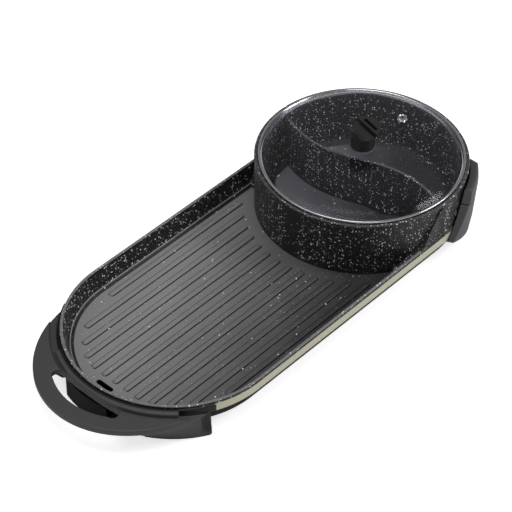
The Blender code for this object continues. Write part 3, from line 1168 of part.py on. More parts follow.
def make_lid():
    glass = turned("glass", list(reversed(glass_profile(0.0))) + glass_profile(GLASS_T))
    low = LEDGE_Z - OVERRUN
    high = WHOLE_TOP_Z + OVERRUN
    knob_hole = cylinder_along("hole", (0.0, 0.0, low), (0.0, 0.0, high), KNOB_HOLE_R)
    vent_hole = cylinder_along("hole", (VENT_PLACE_X, 0.0, low), (VENT_PLACE_X, 0.0, high), VENT_BORE_R)
    add_object("lid_glass", cut(glass, knob_hole, vent_hole), GLASS)

    edge_top = GLASS_EDGE_Z + GLASS_T + GAP
    rim = [(LID_RIM_IN, LID_SEAT_Z), (LID_RIM_R - LID_RIM_T / 2, LID_SEAT_Z),
           (LID_RIM_R, LID_SEAT_Z + LID_RIM_T / 2),
           (LID_RIM_R, edge_top + LID_RIM_T / 2), (LID_RIM_R - LID_RIM_T / 2, edge_top + LID_RIM_T),
           (LID_RIM_R - 3 * LID_RIM_T, edge_top + LID_RIM_T), (LID_RIM_R - 3 * LID_RIM_T, edge_top),
           (LID_RIM_R - LID_RIM_T, edge_top), (LID_RIM_R - LID_RIM_T, LID_SEAT_Z + LID_RIM_T),
           (LID_RIM_IN, LID_SEAT_Z + LID_RIM_T)]
    add_object("lid_rim", turned("rim", rim, closed=True), BRIGHT_STEEL)

    crown = GLASS_TOP_Z
    gasket = [(KNOB_HOLE_R, crown + GAP), (GASKET_R, crown + GAP), (GASKET_R, crown + GAP + GASKET_T),
              (KNOB_HOLE_R, crown + GAP + GASKET_T)]
    add_object("knob_gasket", turned("gasket", gasket, closed=True, steps=24), SILICONE)

    base = crown + 2 * GAP + GASKET_T
    top = base + LID_KNOB_H
    profile = [(r_share * LID_KNOB_TOP_R, base + share * LID_KNOB_H) for r_share, share in LID_KNOB_SHARES]
    body = turned("body", [(0.0, base)] + profile + [(0.0, top)], steps=28)
    scoop = cylinder_along("scoop", (-SCOOP_BACK, -SCOOP_HALF_LONG, base + SCOOP_NEAR_RISE),
                           (-SCOOP_BACK, SCOOP_HALF_LONG, base + SCOOP_FAR_RISE), SCOOP_R, 24)
    slot = block("slot", (SPOON_SLOT_X, -SPOON_SLOT_HALF_LONG, top - SPOON_SLOT_DEPTH),
                 (SPOON_SLOT_X + SPOON_SLOT_WIDE, SPOON_SLOT_HALF_LONG, top + OVERRUN))
    bore = cylinder_along("bore", (0.0, 0.0, base - OVERRUN), (0.0, 0.0, base + LID_KNOB_BORE + GAP),
                          SCREW_BORE_R, 12)
    add_object("lid_knob", cut(body, scoop, slot, bore), BLACK_PLASTIC)

    under = crown - GLASS_T - GAP
    length = base - under + SCREW_HEAD_T + LID_KNOB_BORE
    stations = ((0.0, 2 * SCREW_HEAD_R), (SCREW_HEAD_T, 2 * SCREW_HEAD_R), (SCREW_HEAD_T, SCREW_R),
                (length, SCREW_R))
    screw = bar_along("screw", (0.0, 0.0, under - SCREW_HEAD_T), (0.0, 0.0, crown), stations)
    add_object("lid_screw", screw, BRIGHT_STEEL)

    low = glass_height(VENT_PLACE_X + VENT_FLANGE_R, 0.0) - GAP
    high = glass_height(VENT_PLACE_X - VENT_FLANGE_R, GLASS_T) + GAP
    sleeve = VENT_BORE_R - GAP
    bottom, top = low - VENT_FLANGE_T, high + VENT_FLANGE_T
    grommet = [(0.0, bottom), (VENT_FLANGE_R, bottom), (VENT_FLANGE_R, low),
               (sleeve, low), (sleeve, high), (VENT_FLANGE_R, high),
               (VENT_FLANGE_R - VENT_FLANGE_T / 2, top), (0.0, top)]
    vent = turned("vent", grommet, (VENT_PLACE_X, 0.0), SMALL_STEPS)
    holes = []
    for k in range(VENT_HOLE_COUNT):
        turn = math.tau * k / VENT_HOLE_COUNT
        x = VENT_PLACE_X + VENT_HOLE_RING_R * math.cos(turn)
        y = VENT_HOLE_RING_R * math.sin(turn)
        holes.append(cylinder_along("hole", (x, y, bottom - OVERRUN), (x, y, top + OVERRUN), VENT_HOLE_R,
                                    VENT_HOLE_STEPS))
    add_object("steam_vent", cut(vent, *holes), BRIGHT_STEEL)


def build():
    make_pan_casting()
    make_band()
    make_dish()
    make_reflector()
    make_heaters()
    make_clamps()
    make_wires()
    make_tray()
    make_base_screws()
    make_grill_handle(make_core())
    make_housing(make_core())
    make_pot_legs(make_core())
    make_housing_inside()
    make_lid()
    low_x = LOOP_CENTRE_X - LOOP_HALF_X
    high_x = HOUSE_END_X + GAP + KNOB_T + GAP
    frame_root.location = (-(low_x + high_x) / 2, 0.0, 0.0)
    bpy.context.view_layer.update()


build()
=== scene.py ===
# %% [markdown]
# Hot pot and grill combo. The imported CAD model gives every place and size. This script dresses it: it loads the
# frame first, because everything that follows is set against it, and reads the boxes of its pan and lid rim.

# %% Load the imported frame
from functools import partial
from math import acos, asin, cos, degrees, pi, radians, sin, sqrt, tau

import bmesh
import bpy
from mathutils import Matrix, Vector


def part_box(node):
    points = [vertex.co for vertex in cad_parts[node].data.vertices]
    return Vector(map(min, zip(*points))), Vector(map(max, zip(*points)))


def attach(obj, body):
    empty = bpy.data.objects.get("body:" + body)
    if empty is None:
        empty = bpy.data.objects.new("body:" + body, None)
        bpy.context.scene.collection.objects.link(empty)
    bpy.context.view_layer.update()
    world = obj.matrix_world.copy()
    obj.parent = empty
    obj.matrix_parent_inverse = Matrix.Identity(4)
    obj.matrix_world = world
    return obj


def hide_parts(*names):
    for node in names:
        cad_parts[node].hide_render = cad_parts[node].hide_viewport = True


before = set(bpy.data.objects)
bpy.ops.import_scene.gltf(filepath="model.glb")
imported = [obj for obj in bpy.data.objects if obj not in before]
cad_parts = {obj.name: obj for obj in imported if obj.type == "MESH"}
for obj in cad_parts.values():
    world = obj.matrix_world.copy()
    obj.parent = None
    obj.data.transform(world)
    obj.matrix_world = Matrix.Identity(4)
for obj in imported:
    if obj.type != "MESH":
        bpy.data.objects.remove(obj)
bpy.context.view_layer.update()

MM = 0.001

# %% [markdown]
# The pan is drawn from two centres on one line: the pot's axis and the centre of the round grill end. Both are read
# from the CAD, so the dressed pieces stay where the solids are. Heights are those of the casting's drawing.

# %% Main places
lid_low, lid_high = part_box("lid_rim")
pan_low, pan_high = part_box("pan_casting")
POT_X = (lid_low.x + lid_high.x) / 2
HALF = (pan_high.y - pan_low.y) / 2
GRILL_X = pan_low.x + HALF
RIM_Z, POT_RIM_Z, FLOOR_Z, UNDER_Z = 52 * MM, pan_high.z, 23.5 * MM, 19.5 * MM
SKIRT_Z, BAND_LOW_Z = RIM_Z - 4 * MM, RIM_Z - 17 * MM
SLOT_X, SLOT_Y = GRILL_X - 113.5 * MM, 7 * MM
BOSSES = [(POT_X + x * MM, y * MM) for x, y in ((-335, -46), (-335, 46), (-215, 0), (0, 0))]
OVER = 10 * MM
print("pot axis", round(POT_X, 5), "grill centre", round(GRILL_X, 5), "half width", round(HALF, 4))

# %% [markdown]
# Most walls here are a closed outline carried through heights, as a pattern maker builds them: a stadium for the pan
# and base, circles for pot and lid. Two small functions skin such rings and turn such profiles.

# %% Skins, turned forms and outlines
def skin(rings, closed=False):
    """Faces through rings of equal count, or of one point. A closed skin joins the last ring to the first, another
    is capped."""
    bm = bmesh.new()
    rows = [[bm.verts.new(point) for point in ring] for ring in rings]
    count = max(len(row) for row in rows)
    for low, high in zip(rows, rows[1:] + (rows[:1] if closed else [])):
        for i, j in zip(range(count), [*range(1, count), 0]):
            corners = (low[i % len(low)], low[j % len(low)], high[j % len(high)], high[i % len(high)])
            corners = list(dict.fromkeys(corners))
            if len(corners) > 2:
                bm.faces.new(corners)
    if not closed:
        for end in (rows[0][::-1], rows[-1]):
            if len(end) > 1:
                bm.faces.new(end)
    bmesh.ops.remove_doubles(bm, verts=bm.verts, dist=1e-6)
    bmesh.ops.recalc_face_normals(bm, faces=bm.faces)
    data = bpy.data.meshes.new("form")
    bm.to_mesh(data)
    bm.free()
    return data


def arc(cx, cy, rx, ry, start, end, steps):
    turns = [radians(start + (end - start) * k / steps) for k in range(steps + 1)]
    return [(cx + rx * cos(turn), cy + ry * sin(turn)) for turn in turns]


def capsule(x0, x1, y, radius, steps=10):
    return arc(x1 - radius, y, radius, radius, -90, 90, steps) + arc(x0 + radius, y, radius, radius, 90, 270, steps)


def stadium(inset, z, steps=72):
    r = HALF - inset
    plan = arc(POT_X, 0, r, r, -90, 90, steps) + arc(GRILL_X, 0, r, r, 90, 270, steps)
    return [(x, y, z) for x, y in plan]


def turned(profile, centre=(POT_X, 0.0), steps=144, closed=False):
    """Revolve (radius, height) pairs. A profile that starts and ends on the axis closes itself there."""
    return skin([[(x, y, z) for x, y in arc(*centre, radius, radius, 0, 360, steps)[:steps if radius > 0 else 1]]
                 for radius, z in profile], closed)


def prism(outline, low, high, axis="Z"):
    """A plan between two heights, or with axis Y an upright outline between two places across."""
    return skin([[(u, v, w) if axis == "Z" else (u, w, v) for u, v in outline] for w in (low, high)])


def block(x0, x1, y0, y1, z0, z1, origin=(POT_X, 0, 0)):
    """Box with its sides at these millimetres from the origin."""
    x, y, z = origin
    plan = [(x + u * MM, y + v * MM) for u, v in ((x0, y0), (x1, y0), (x1, y1), (x0, y1))]
    return prism(plan, z + z0 * MM, z + z1 * MM)


def bar(start, end, stations, steps=32):
    """Turned bar on any line: stations are (distance from the start, radius)."""
    start = Vector(start)
    along = (Vector(end) - start).normalized()
    side = along.orthogonal().normalized()
    other = along.cross(side)
    turns = [tau * k / steps for k in range(steps)]
    return skin([[start + along * reach + radius * (cos(t) * side + sin(t) * other) for t in turns]
                 for reach, radius in stations])


def rod(start, end, radius, steps=32):
    return bar(start, end, ((0, radius), ((Vector(end) - Vector(start)).length, radius)), steps)


print("stadium of", len(stadium(0, 0)), "points")

# %% [markdown]
# A casting or moulding is one body with holes in it. Booleans join and cut the skins, and the evaluated result is
# copied to a plain mesh, so nothing stays live. Moulded plastic also has soft edges everywhere: a fine voxel remesh
# and a few smoothing passes round all of them evenly.

# %% Joining, cutting and rounding
def linked(name, data):
    made = bpy.data.objects.new(name, data)
    bpy.context.scene.collection.objects.link(made)
    return made


def evaluated(holder):
    bpy.context.view_layer.update()
    made = bpy.data.meshes.new_from_object(holder.evaluated_get(bpy.context.evaluated_depsgraph_get()))
    bpy.data.objects.remove(holder, do_unlink=True)
    return made


def combine(operation, base, *tools):
    for tool in tools:
        holder, other = linked("holder", base), linked("tool", tool)
        step = holder.modifiers.new("join", "BOOLEAN")
        step.operation, step.object, step.solver = operation, other, "EXACT"
        base = evaluated(holder)
        bpy.data.objects.remove(other, do_unlink=True)
    bm = bmesh.new()
    bm.from_mesh(base)
    bmesh.ops.remove_doubles(bm, verts=bm.verts, dist=2e-6)
    bmesh.ops.dissolve_degenerate(bm, edges=bm.edges, dist=1e-6)
    bm.to_mesh(base)
    bm.free()
    return base


cut, fuse, keep = (partial(combine, operation) for operation in ("DIFFERENCE", "UNION", "INTERSECT"))


def moulded(data, voxel, passes):
    """The same body with every edge rounded by about a voxel."""
    holder = linked("holder", data)
    remesh = holder.modifiers.new("voxels", "REMESH")
    remesh.mode, remesh.voxel_size = "VOXEL", voxel
    soft = holder.modifiers.new("soft edges", "SMOOTH")
    soft.factor, soft.iterations = 0.5, passes
    return evaluated(holder)


def piece(name, data, material, body, stands_for=(), smooth=32):
    """A finished piece: shaded smooth up to an angle, riding on its body, with the CAD nodes that it stands for."""
    made = linked(name, data)
    data.materials.clear()
    data.materials.append(material)
    data.shade_smooth()
    if smooth:
        data.set_sharp_from_angle(angle=radians(smooth))
    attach(made, body)
    if stands_for:
        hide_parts(*stands_for)
    print(name, len(data.polygons), "faces")


# %% [markdown]
# Every material is a node tree. One function adds a node with its settings and links, and another turns the hex
# colour that a colour picker shows into the linear values that the shader wants.

# %% Material helpers
VECTOR, MIX, RANGE, NOISE, CELLS, SPLIT, PATH = ("ShaderNode" + kind for kind in (
    "VectorMath", "Mix", "MapRange", "TexNoise", "TexVoronoi", "SeparateColor", "LightPath"))


def srgb(code):
    parts = [int(code[k:k + 2], 16) / 255 for k in (0, 2, 4)]
    return [p / 12.92 if p <= 0.04045 else ((p + 0.055) / 1.055) ** 2.4 for p in parts] + [1.0]


def fill(tree, node, key, value):
    """Fill one input: a socket, or the first live output of a node, is linked, anything else is typed in."""
    if isinstance(value, bpy.types.Node):
        value = next(socket for socket in value.outputs if socket.enabled)
    if isinstance(value, bpy.types.NodeSocket):
        tree.links.new(value, node.inputs[key])
    else:
        node.inputs[key].default_value = value


def add(tree, kind, *fills, **settings):
    """Add a node and set its properties. A kind in capitals is the operation of a Math node. Values fill the inputs
    in order, a dict fills them by name or number."""
    made = tree.nodes.new("ShaderNodeMath" if kind.isupper() else kind)
    if kind.isupper():
        made.operation = kind
    for key, value in settings.items():
        setattr(made, key, value)
    for k, given in enumerate(fills):
        for key, value in (given if isinstance(given, dict) else {k: given}).items():
            fill(tree, made, key, value)
    return made


def principled(name, **values):
    made = bpy.data.materials.new(name)
    made.use_nodes = True
    shader = made.node_tree.nodes["Principled BSDF"]
    for key, value in values.items():
        shader.inputs[key.replace("_", " ")].default_value = value
    return made, made.node_tree, shader


def place_in(tree):
    return add(tree, "ShaderNodeTexCoord").outputs["Object"]


def finish_with(tree, shader, colour, rough=None, height=None, depth=0.1 * MM):
    """Link colour, roughness and relief into the shader. A tuple is a mask and the two hex colours that it mixes."""
    if isinstance(colour, tuple):
        mask, first, second = colour
        colour = add(tree, MIX, mask, {6: srgb(first), 7: srgb(second)}, data_type="RGBA")
    fill(tree, shader, "Base Color", colour)
    if rough is not None:
        fill(tree, shader, "Roughness", rough)
    if height is not None:
        fill(tree, shader, "Normal", add(tree, "ShaderNodeBump", {"Distance": depth, "Height": height}))


def off_axis(tree, x):
    """Place seen from an upright axis at x, and the level distance to that axis."""
    off = add(tree, VECTOR, place_in(tree), (x, 0.0, 0.0), operation="SUBTRACT")
    level = add(tree, VECTOR, off, (1.0, 1.0, 0.0), operation="MULTIPLY")
    return off, add(tree, VECTOR, level, operation="LENGTH")


def mottled(name, light, dark, grain, low_rough, high_rough, depth, gap=None, **values):
    """A finish whose colour, gloss and relief drift with one noise of the given grain size. It can take painted
    shade, near black, within a radius of the grill's centre."""
    made, tree, shader = principled(name, **values)
    noise = add(tree, NOISE, {"Vector": place_in(tree), "Scale": 1 / grain, "Detail": 3.0})
    tint = add(tree, MIX, noise, {6: srgb(dark), 7: srgb(light)}, data_type="RGBA")
    rough = add(tree, RANGE, noise, {"From Min": 0.3, "From Max": 0.7, "To Min": low_rough, "To Max": high_rough})
    # Painted shade: the finish turns near black within this radius of the grill's centre.
    if gap:
        inner = add(tree, RANGE, off_axis(tree, GRILL_X)[1], {"From Min": gap, "From Max": gap - MM})
        tint = add(tree, MIX, inner, {6: tint, 7: srgb("0c0c0d")}, data_type="RGBA")
    finish_with(tree, shader, tint, rough, noise, depth)
    return made


# %% [markdown]
# Granite-look non-stick is a PTFE coat sprayed on die-cast aluminium, then spattered with pale flecks while wet. So it
# is near black and satin, with round flecks of many sizes, thick on the walls and thin on the flat grill floor. The
# floor is coloured greyer than the walls, with painted light that makes it paler toward the grill end and the far
# side. Voronoi cells give one fleck each at most, and a second colour channel of the same cells throws the dice on its
# size. A real fleck is 0.4 to 2.3 mm across. Painted highlights draw fine pale lines along the crease at the foot of
# the walls and along the pan's rim, and lighten the tops of the pot's rim and of its dividing wall.

# %% Granite coating
def flecks(tree, place, cell, share, largest):
    """Mask of round flecks: one to a cell on a share of the cells, with random radius up to the largest."""
    cells = add(tree, CELLS, {"Vector": place, "Scale": 1 / cell})
    dice = add(tree, SPLIT, cells.outputs["Color"])
    chosen = add(tree, "LESS_THAN", dice.outputs[0], share)
    radius = add(tree, RANGE, dice.outputs[1], {"To Min": 0.35 * largest / cell, "To Max": largest / cell})
    inside = add(tree, "SUBTRACT", radius, cells.outputs["Distance"])
    return add(tree, "MULTIPLY", chosen, add(tree, "MULTIPLY", inside, 9.0, use_clamp=True))


def between(tree, value, low, high):
    above = add(tree, "GREATER_THAN", value, low)
    return add(tree, "MULTIPLY", above, add(tree, "LESS_THAN", value, high))


def granite_coating(name, painted_rib_shade=False):
    """The coat, with painted highlights on its creases and rims and painted light across the grill floor. On the ribs'
    piece a low dark strip is painted shade round each rib.
    """
    made, tree, shader = principled(name, Roughness=0.42, Specular_IOR_Level=0.32)
    node = partial(add, tree)
    place = place_in(tree)
    off, away = off_axis(tree, POT_X)
    rise = node("SUBTRACT", node("ShaderNodeSeparateXYZ", place).outputs[2], FLOOR_Z)
    top, bottom = (3.0 * MM, 2.6 * MM) if painted_rib_shade else (1.0 * MM, 0.5 * MM)
    low = node(RANGE, rise, {"From Min": top, "From Max": bottom})
    floor = node("MULTIPLY", low, node("GREATER_THAN", rise, -0.3 * MM))
    worn = node(NOISE, {"Vector": place, "Scale": 1 / (38 * MM), "Detail": 3.0})
    # Painted light: the floor's grey is painted paler toward the grill end and the far side, under a slow random
    # mottle.
    painted_light_slope = node(VECTOR, off, (-2.0, 5.0, 0.0), operation="DOT_PRODUCT")
    drift = node("MULTIPLY_ADD", worn, 0.25, painted_light_slope)
    painted_light_share = node(RANGE, drift, {"From Min": -0.05, "From Max": 1.05})
    grey = node(MIX, painted_light_share, {6: srgb("323233"), 7: srgb("7e7e7f")}, data_type="RGBA")
    colour = node(MIX, floor, {6: srgb("1b1b1c"), 7: grey}, data_type="RGBA")

    outside, clear, inner = HALF - MM, HALF + 3 * MM, HALF - 16 * MM
    rim, pot_rim = (RIM_Z - FLOOR_Z) / MM, (POT_RIM_Z - FLOOR_Z) / MM
    # Painted highlights: pale lines on the basin's crease and the pan's rim, and lighter tops on the dividing wall and
    # the pot's rim. On the ribs' piece the only band is a dark strip of painted shade round each rib.
    painted_light_bands = ((0.04, 0.45, "0b0b0c", outside, 9),) if painted_rib_shade else (
        (3.1, 4.2, "7a7a7b", outside, 9), (rim - 1.0, rim + 0.4, "6c6c6d", clear, 9),
        (pot_rim - 9.4, pot_rim - 8.7, "454546", -9, inner), (pot_rim - 0.9, pot_rim + 1, "3e3e3f", -9, 9))
    for first, last, shade, near, far in painted_light_bands:
        band = node("MULTIPLY", between(tree, rise, first * MM, last * MM), between(tree, away, near, far))
        colour = node(MIX, band, {6: colour, 7: srgb(shade)}, data_type="RGBA")

    thin = node("SUBTRACT", 1.0, node(RANGE, rise, {"From Min": 3.2 * MM, "From Max": 4.4 * MM}))
    large = flecks(tree, place, 2.7 * MM, node(RANGE, thin, {"To Min": 0.50, "To Max": 0.02}), 1.1 * MM)
    small = flecks(tree, place, 1.8 * MM, node(RANGE, thin, {"To Min": 0.60, "To Max": 0.16}), 0.55 * MM)
    spatter = node("MAXIMUM", large, node("MULTIPLY", small, 0.5), use_clamp=True)
    colour = node(MIX, spatter, {6: colour, 7: srgb("ececea")}, data_type="RGBA")
    peel = node(NOISE, {"Vector": place, "Scale": 1 / (1.6 * MM), "Detail": 2.0})
    rough = node(RANGE, worn, {"To Min": 0.36, "To Max": 0.50})
    finish_with(tree, shader, colour, rough, peel, 0.05 * MM)
    return made


GRANITE = granite_coating("granite_ptfe_coating")
# On the ribs' piece the coat carries a dark strip of painted shade round each rib.
GRANITE_RIBS = granite_coating("granite_ptfe_coating_ribs_painted_shade", painted_rib_shade=True)

# %% [markdown]
# The base band is steel sprayed in champagne metallic: a beige lacquer full of aluminium flakes, about 0.1 mm across
# and drawn at 0.5 mm so that they show, under a thin clear coat.

# %% Champagne paint
def champagne_paint():
    made, tree, shader = principled("champagne_metallic_lacquer", Metallic=0.25, Coat_Weight=0.25, Coat_Roughness=0.12)
    flakes = add(tree, CELLS, {"Vector": place_in(tree), "Scale": 1 / (0.5 * MM)})
    dice = add(tree, SPLIT, flakes.outputs["Color"])
    rough = add(tree, RANGE, dice.outputs[1], {"To Min": 0.30, "To Max": 0.44})
    finish_with(tree, shader, (dice.outputs[0], "b7b49d", "cac7b1"), rough)
    return made


CHAMPAGNE = champagne_paint()

# %% [markdown]
# The plain finishes: moulded plastic is satin with a fine spark-eroded grain, and the handle's takes painted shade,
# near black, in the narrow gap beside the pan, where little light gets in. Enamelled steel is dull black with a slow
# ripple, and rubber and silicone are dull. The reflector is hot-dip aluminised sheet with its pale crystals.

# %% Plain finishes
SATIN = ("444445", "3b3b3c", 0.7 * MM, 0.40, 0.50, 0.035 * MM)
PLASTIC = mottled("moulded_phenolic_satin", *SATIN, Specular_IOR_Level=0.35)
# The handle's plastic is painted near black within about 4 to 5 mm outside the pan's round end: painted shade in the
# gap.
HANDLE_PLASTIC = mottled("moulded_phenolic_handle_painted_shade", *SATIN, HALF + 5 * MM, Specular_IOR_Level=0.35)
KNOB_PLASTIC = mottled("moulded_phenolic_fine", "272728", "1e1e20", 0.6 * MM, 0.30, 0.40, 0.012 * MM,
                       Specular_IOR_Level=0.5)
ENAMEL = mottled("black_enamelled_steel", "121213", "0c0c0d", 9 * MM, 0.40, 0.52, 0.05 * MM, Specular_IOR_Level=0.08)
RUBBER = mottled("black_rubber_moulded", "1f1f1f", "161616", 0.9 * MM, 0.68, 0.82, 0.05 * MM)
SILICONE = mottled("grey_silicone_moulded", "5a5a5c", "4c4c4e", 1.2 * MM, 0.52, 0.64, 0.03 * MM)
CERAMIC = mottled("steatite_ceramic_fired", "dcd8cb", "cbc6b7", 1.1 * MM, 0.48, 0.62, 0.04 * MM)
HEATER_STEEL = mottled("stainless_tube_heat_tinted", "a39a8c", "77706a", 14 * MM, 0.24, 0.38, 0.02 * MM, Metallic=1.0)
ALUMINISED = mottled("aluminised_steel_sheet", "d2d3d4", "a9abad", 7 * MM, 0.24, 0.42, 0.02 * MM, Metallic=1.0)
ZINC_STEEL = mottled("zinc_plated_screw_steel", "c4c6c8", "9fa2a5", 2.5 * MM, 0.24, 0.38, 0.01 * MM, Metallic=1.0)

# %% [markdown]
# Polished stainless is rolled and then buffed round the rim, so its gloss changes in hair-fine rings about the pot's
# axis. Tempered glass has a faint grey tint, and its index is set low to keep the sheen off the view. Lamps shine
# through it, or the pot would be in the shade of its lid. A wire sleeve is woven glass fibre: two crossed waves at the
# width of a thread.

# %% Rim steel, glass, lens and sleeve
def polished_rim():
    made, tree, shader = principled("stainless_buffed_rim", Metallic=1.0)
    off = add(tree, VECTOR, place_in(tree), (POT_X, 0.0, 0.0), operation="SUBTRACT")
    rings = add(tree, NOISE, {"W": add(tree, VECTOR, off, operation="LENGTH"), "Scale": 1 / (0.25 * MM)},
                noise_dimensions="1D")
    rough = add(tree, RANGE, rings, {"To Min": 0.06, "To Max": 0.20})
    finish_with(tree, shader, (rings, "c9cacc", "e4e5e6"), rough)
    return made


def clear_glass():
    made, tree, shader = principled("tempered_glass_grey_tint", Roughness=0.0, IOR=1.2,
                                    Transmission_Weight=1.0, Specular_IOR_Level=0.35)
    drift = add(tree, NOISE, {"Vector": place_in(tree), "Scale": 1 / (60 * MM), "Detail": 1.0})
    finish_with(tree, shader, (drift, "e3e2e8", "eae9ef"))
    through = add(tree, "ShaderNodeBsdfTransparent", srgb("e8e8ec"))
    both = add(tree, "ShaderNodeMixShader", add(tree, PATH).outputs["Is Shadow Ray"], shader, through)
    fill(tree, tree.nodes["Material Output"], "Surface", both)
    return made


def red_lens():
    made, tree, shader = principled("red_acrylic_lens", Roughness=0.15, Transmission_Weight=0.35, IOR=1.49)
    cells = add(tree, CELLS, {"Vector": place_in(tree), "Scale": 1 / (0.8 * MM)})
    finish_with(tree, shader, (cells, "c3231c", "8e120e"), height=cells)
    return made


def woven_sleeve():
    made, tree, shader = principled("glass_fibre_sleeve_woven", Roughness=0.75)
    waves = [add(tree, "ShaderNodeTexWave", {"Scale": 1 / (9 * MM), "Vector": add(tree, "ShaderNodeMapping", {
        "Vector": place_in(tree), "Rotation": (0.0, 0.0, turn)})}).outputs["Fac"] for turn in (0.8, -0.8)]
    weave = add(tree, "MAXIMUM", *waves)
    finish_with(tree, shader, (weave, "a79f86", "d8d1ba"), height=weave)
    return made


STEEL, GLASS, LENS, SLEEVE = polished_rim(), clear_glass(), red_lens(), woven_sleeve()
print("materials", len(bpy.data.materials))

# %% [markdown]
# The pan is one die casting: a stadium tub, a round pot standing in its right end, two ramps that carry the long
# walls up to the pot's rim, and an S-shaped wall that parts the pot. It is built the way the CAD builds it, with
# finer steps, a rolled rim and a fillet at the foot of the walls. Its tables are in millimetres.

# %% Pan casting
POT_R, RAMP_LONG, ACROSS = HALF - 1.5 * MM, 76 * MM, 0.17
RAMP = ((1, 0), (0.945, 0.05), (0.89, 0.12), (0.76, 0.25), (0.61, 0.345), (0.55, 0.365), (0.5, 0.41), (0.42, 0.54),
        (0.34, 0.67), (0.26, 0.78), (0.17, 0.885), (0.08, 0.955), (0.03, 0.99), (0, 1))


def mm(rows, level=0.0):
    """Pairs in millimetres as metres, the second one above a level."""
    return [(a * MM, level + b * MM) for a, b in rows]


def stadiums(rows, level=0.0):
    return [stadium(inset, z) for inset, z in mm(rows, level)]


def roll(z, radius, steps=5):
    """Quarter round of a rim as (inset, z) pairs, up and over."""
    turns = [radians(90 * k / steps) for k in range(steps + 1)]
    return [(radius * (1 - cos(t)), z - radius * (1 - sin(t))) for t in turns]


def upright(outline, near=-ACROSS, far=ACROSS):
    """An outline in x from the pot's axis and height, carried across the object."""
    return prism([(POT_X + x, z) for x, z in outline], near, far, axis="Y")


def ramp(side):
    rise, foot = POT_RIM_Z - 1.5 * MM - FLOOR_Z, UNDER_Z + 1.5 * MM
    profile = [(-share * RAMP_LONG, FLOOR_Z + lift * rise) for share, lift in RAMP]
    return upright(profile + [(0, foot), (-RAMP_LONG, foot)],
                   *sorted((side * (HALF - 35.4 * MM), side * (HALF - 0.4 * MM))))


def divided_hollow():
    """The pot's inside: a turned cutter, parted by the S-shaped wall."""
    hollow = turned(mm(((0, 0), (114, 0), (119, 1.2), (123.5, 4), (127, 10)), FLOOR_Z) + mm((
        (132.5, -8), (132.5, -3.5), (135.2, -3.5), (135.2, -0.8), (136, 0), (136, 12), (0, 12)), POT_RIM_Z))
    half = mm(((4, -1.5), (3, 4)), FLOOR_Z) + mm(((2.25, -10.6), (2, -9.6), (1.4, -9)), POT_RIM_Z)
    sections = []
    for k in range(61):
        y = HALF * (2 * k / 60 - 1)
        x = POT_X - 16 * MM * sin(pi * y / (132.5 * MM))
        sections.append([(x - w, y, z) for w, z in half] + [(x + w, y, z) for w, z in reversed(half)])
    return cut(hollow, skin(sections))


def pan_casting():
    under, rim_r = UNDER_Z - 0.5 * MM, HALF - 0.3 * MM
    tub = skin([stadium(0, under + 0.3 * MM)] + [stadium(i, z) for i, z in roll(RIM_Z, 2.2 * MM)])
    pot = turned([(0, under), (POT_R, under), (POT_R, POT_RIM_Z - 4.5 * MM), (POT_R + 0.4 * MM, POT_RIM_Z - 3.2 * MM),
                  (rim_r, POT_RIM_Z - 2.4 * MM)] + [(rim_r - i, z) for i, z in roll(POT_RIM_Z, 1.8 * MM)]
                 + [(0, POT_RIM_Z)])
    basin = skin(stadiums(((19.5, 0), (17.6, 0.35), (15.4, 1.2), (13.5, 2.4), (12.2, 3.6), (11.6, 3.9)), FLOOR_Z)
                 + stadiums(((4.5, -1.6), (4.1, -0.7), (3.3, 0), (3.3, 10)), RIM_Z))
    keep_out = turned([(0, under), (POT_R, under), (POT_R, POT_RIM_Z + 9 * MM), (0, POT_RIM_Z + 9 * MM)])
    basin = cut(basin, keep_out, ramp(-1), ramp(1))
    flank = skin([stadium(inset * MM, z) for inset, z in (
        (-10, under - OVER), (-10, SKIRT_Z), (3.5, SKIRT_Z), (8.5, UNDER_Z + 6 * MM), (13.5, under),
        (13.5, under - OVER))], closed=True)
    slot = [(SLOT_X + v, SLOT_Y + u) for u, v in capsule(-13.2 * MM, 13.2 * MM, 0, 3.5 * MM)]
    casting = cut(fuse(tub, pot, ramp(-1), ramp(1)), basin, flank, divided_hollow())
    casting = cut(casting, prism(slot, under - OVER, FLOOR_Z + OVER))
    for at in BOSSES:
        boss = rod((*at, 7.5 * MM), (*at, UNDER_Z + 1.5 * MM), 5.5 * MM)
        casting = cut(fuse(casting, boss), rod((*at, 0), (*at, UNDER_Z), 1.9 * MM))
    return casting


piece("cast_pan", pan_casting(), GRANITE, "base", ["pan_casting"], smooth=30)

# %% [markdown]
# Thirteen ribs run along the grill floor, equally spaced, from a circle inside the grill's end to a circle round the
# pot, and stop short of the drain slot. Geometry Nodes fit such a rule: a grid gives one row of points per rib, the
# edges between rows are deleted, each row is slid to its own start and end, and a rounded profile is drawn along it
# that shrinks at both ends. A thin, low foot round each rib is a dark strip of painted shade.

# %% Geometry Nodes helper
XYZ, UNPACK, PLACE = "ShaderNodeCombineXYZ", "ShaderNodeSeparateXYZ", "GeometryNodeSetPosition"


def node_tree(name, **inputs):
    """A Geometry Nodes tree with named float inputs. Returns the tree, its inputs as sockets and its output node."""
    tree = bpy.data.node_groups.new(name, "GeometryNodeTree")
    for way in ("INPUT", "OUTPUT"):
        tree.interface.new_socket("Geometry", in_out=way, socket_type="NodeSocketGeometry")
    for label in inputs:
        tree.interface.new_socket(label, in_out="INPUT", socket_type="NodeSocketFloat")
    start = tree.nodes.new("NodeGroupInput")
    return tree, {socket.name: socket for socket in start.outputs if socket.name}, tree.nodes.new("NodeGroupOutput")


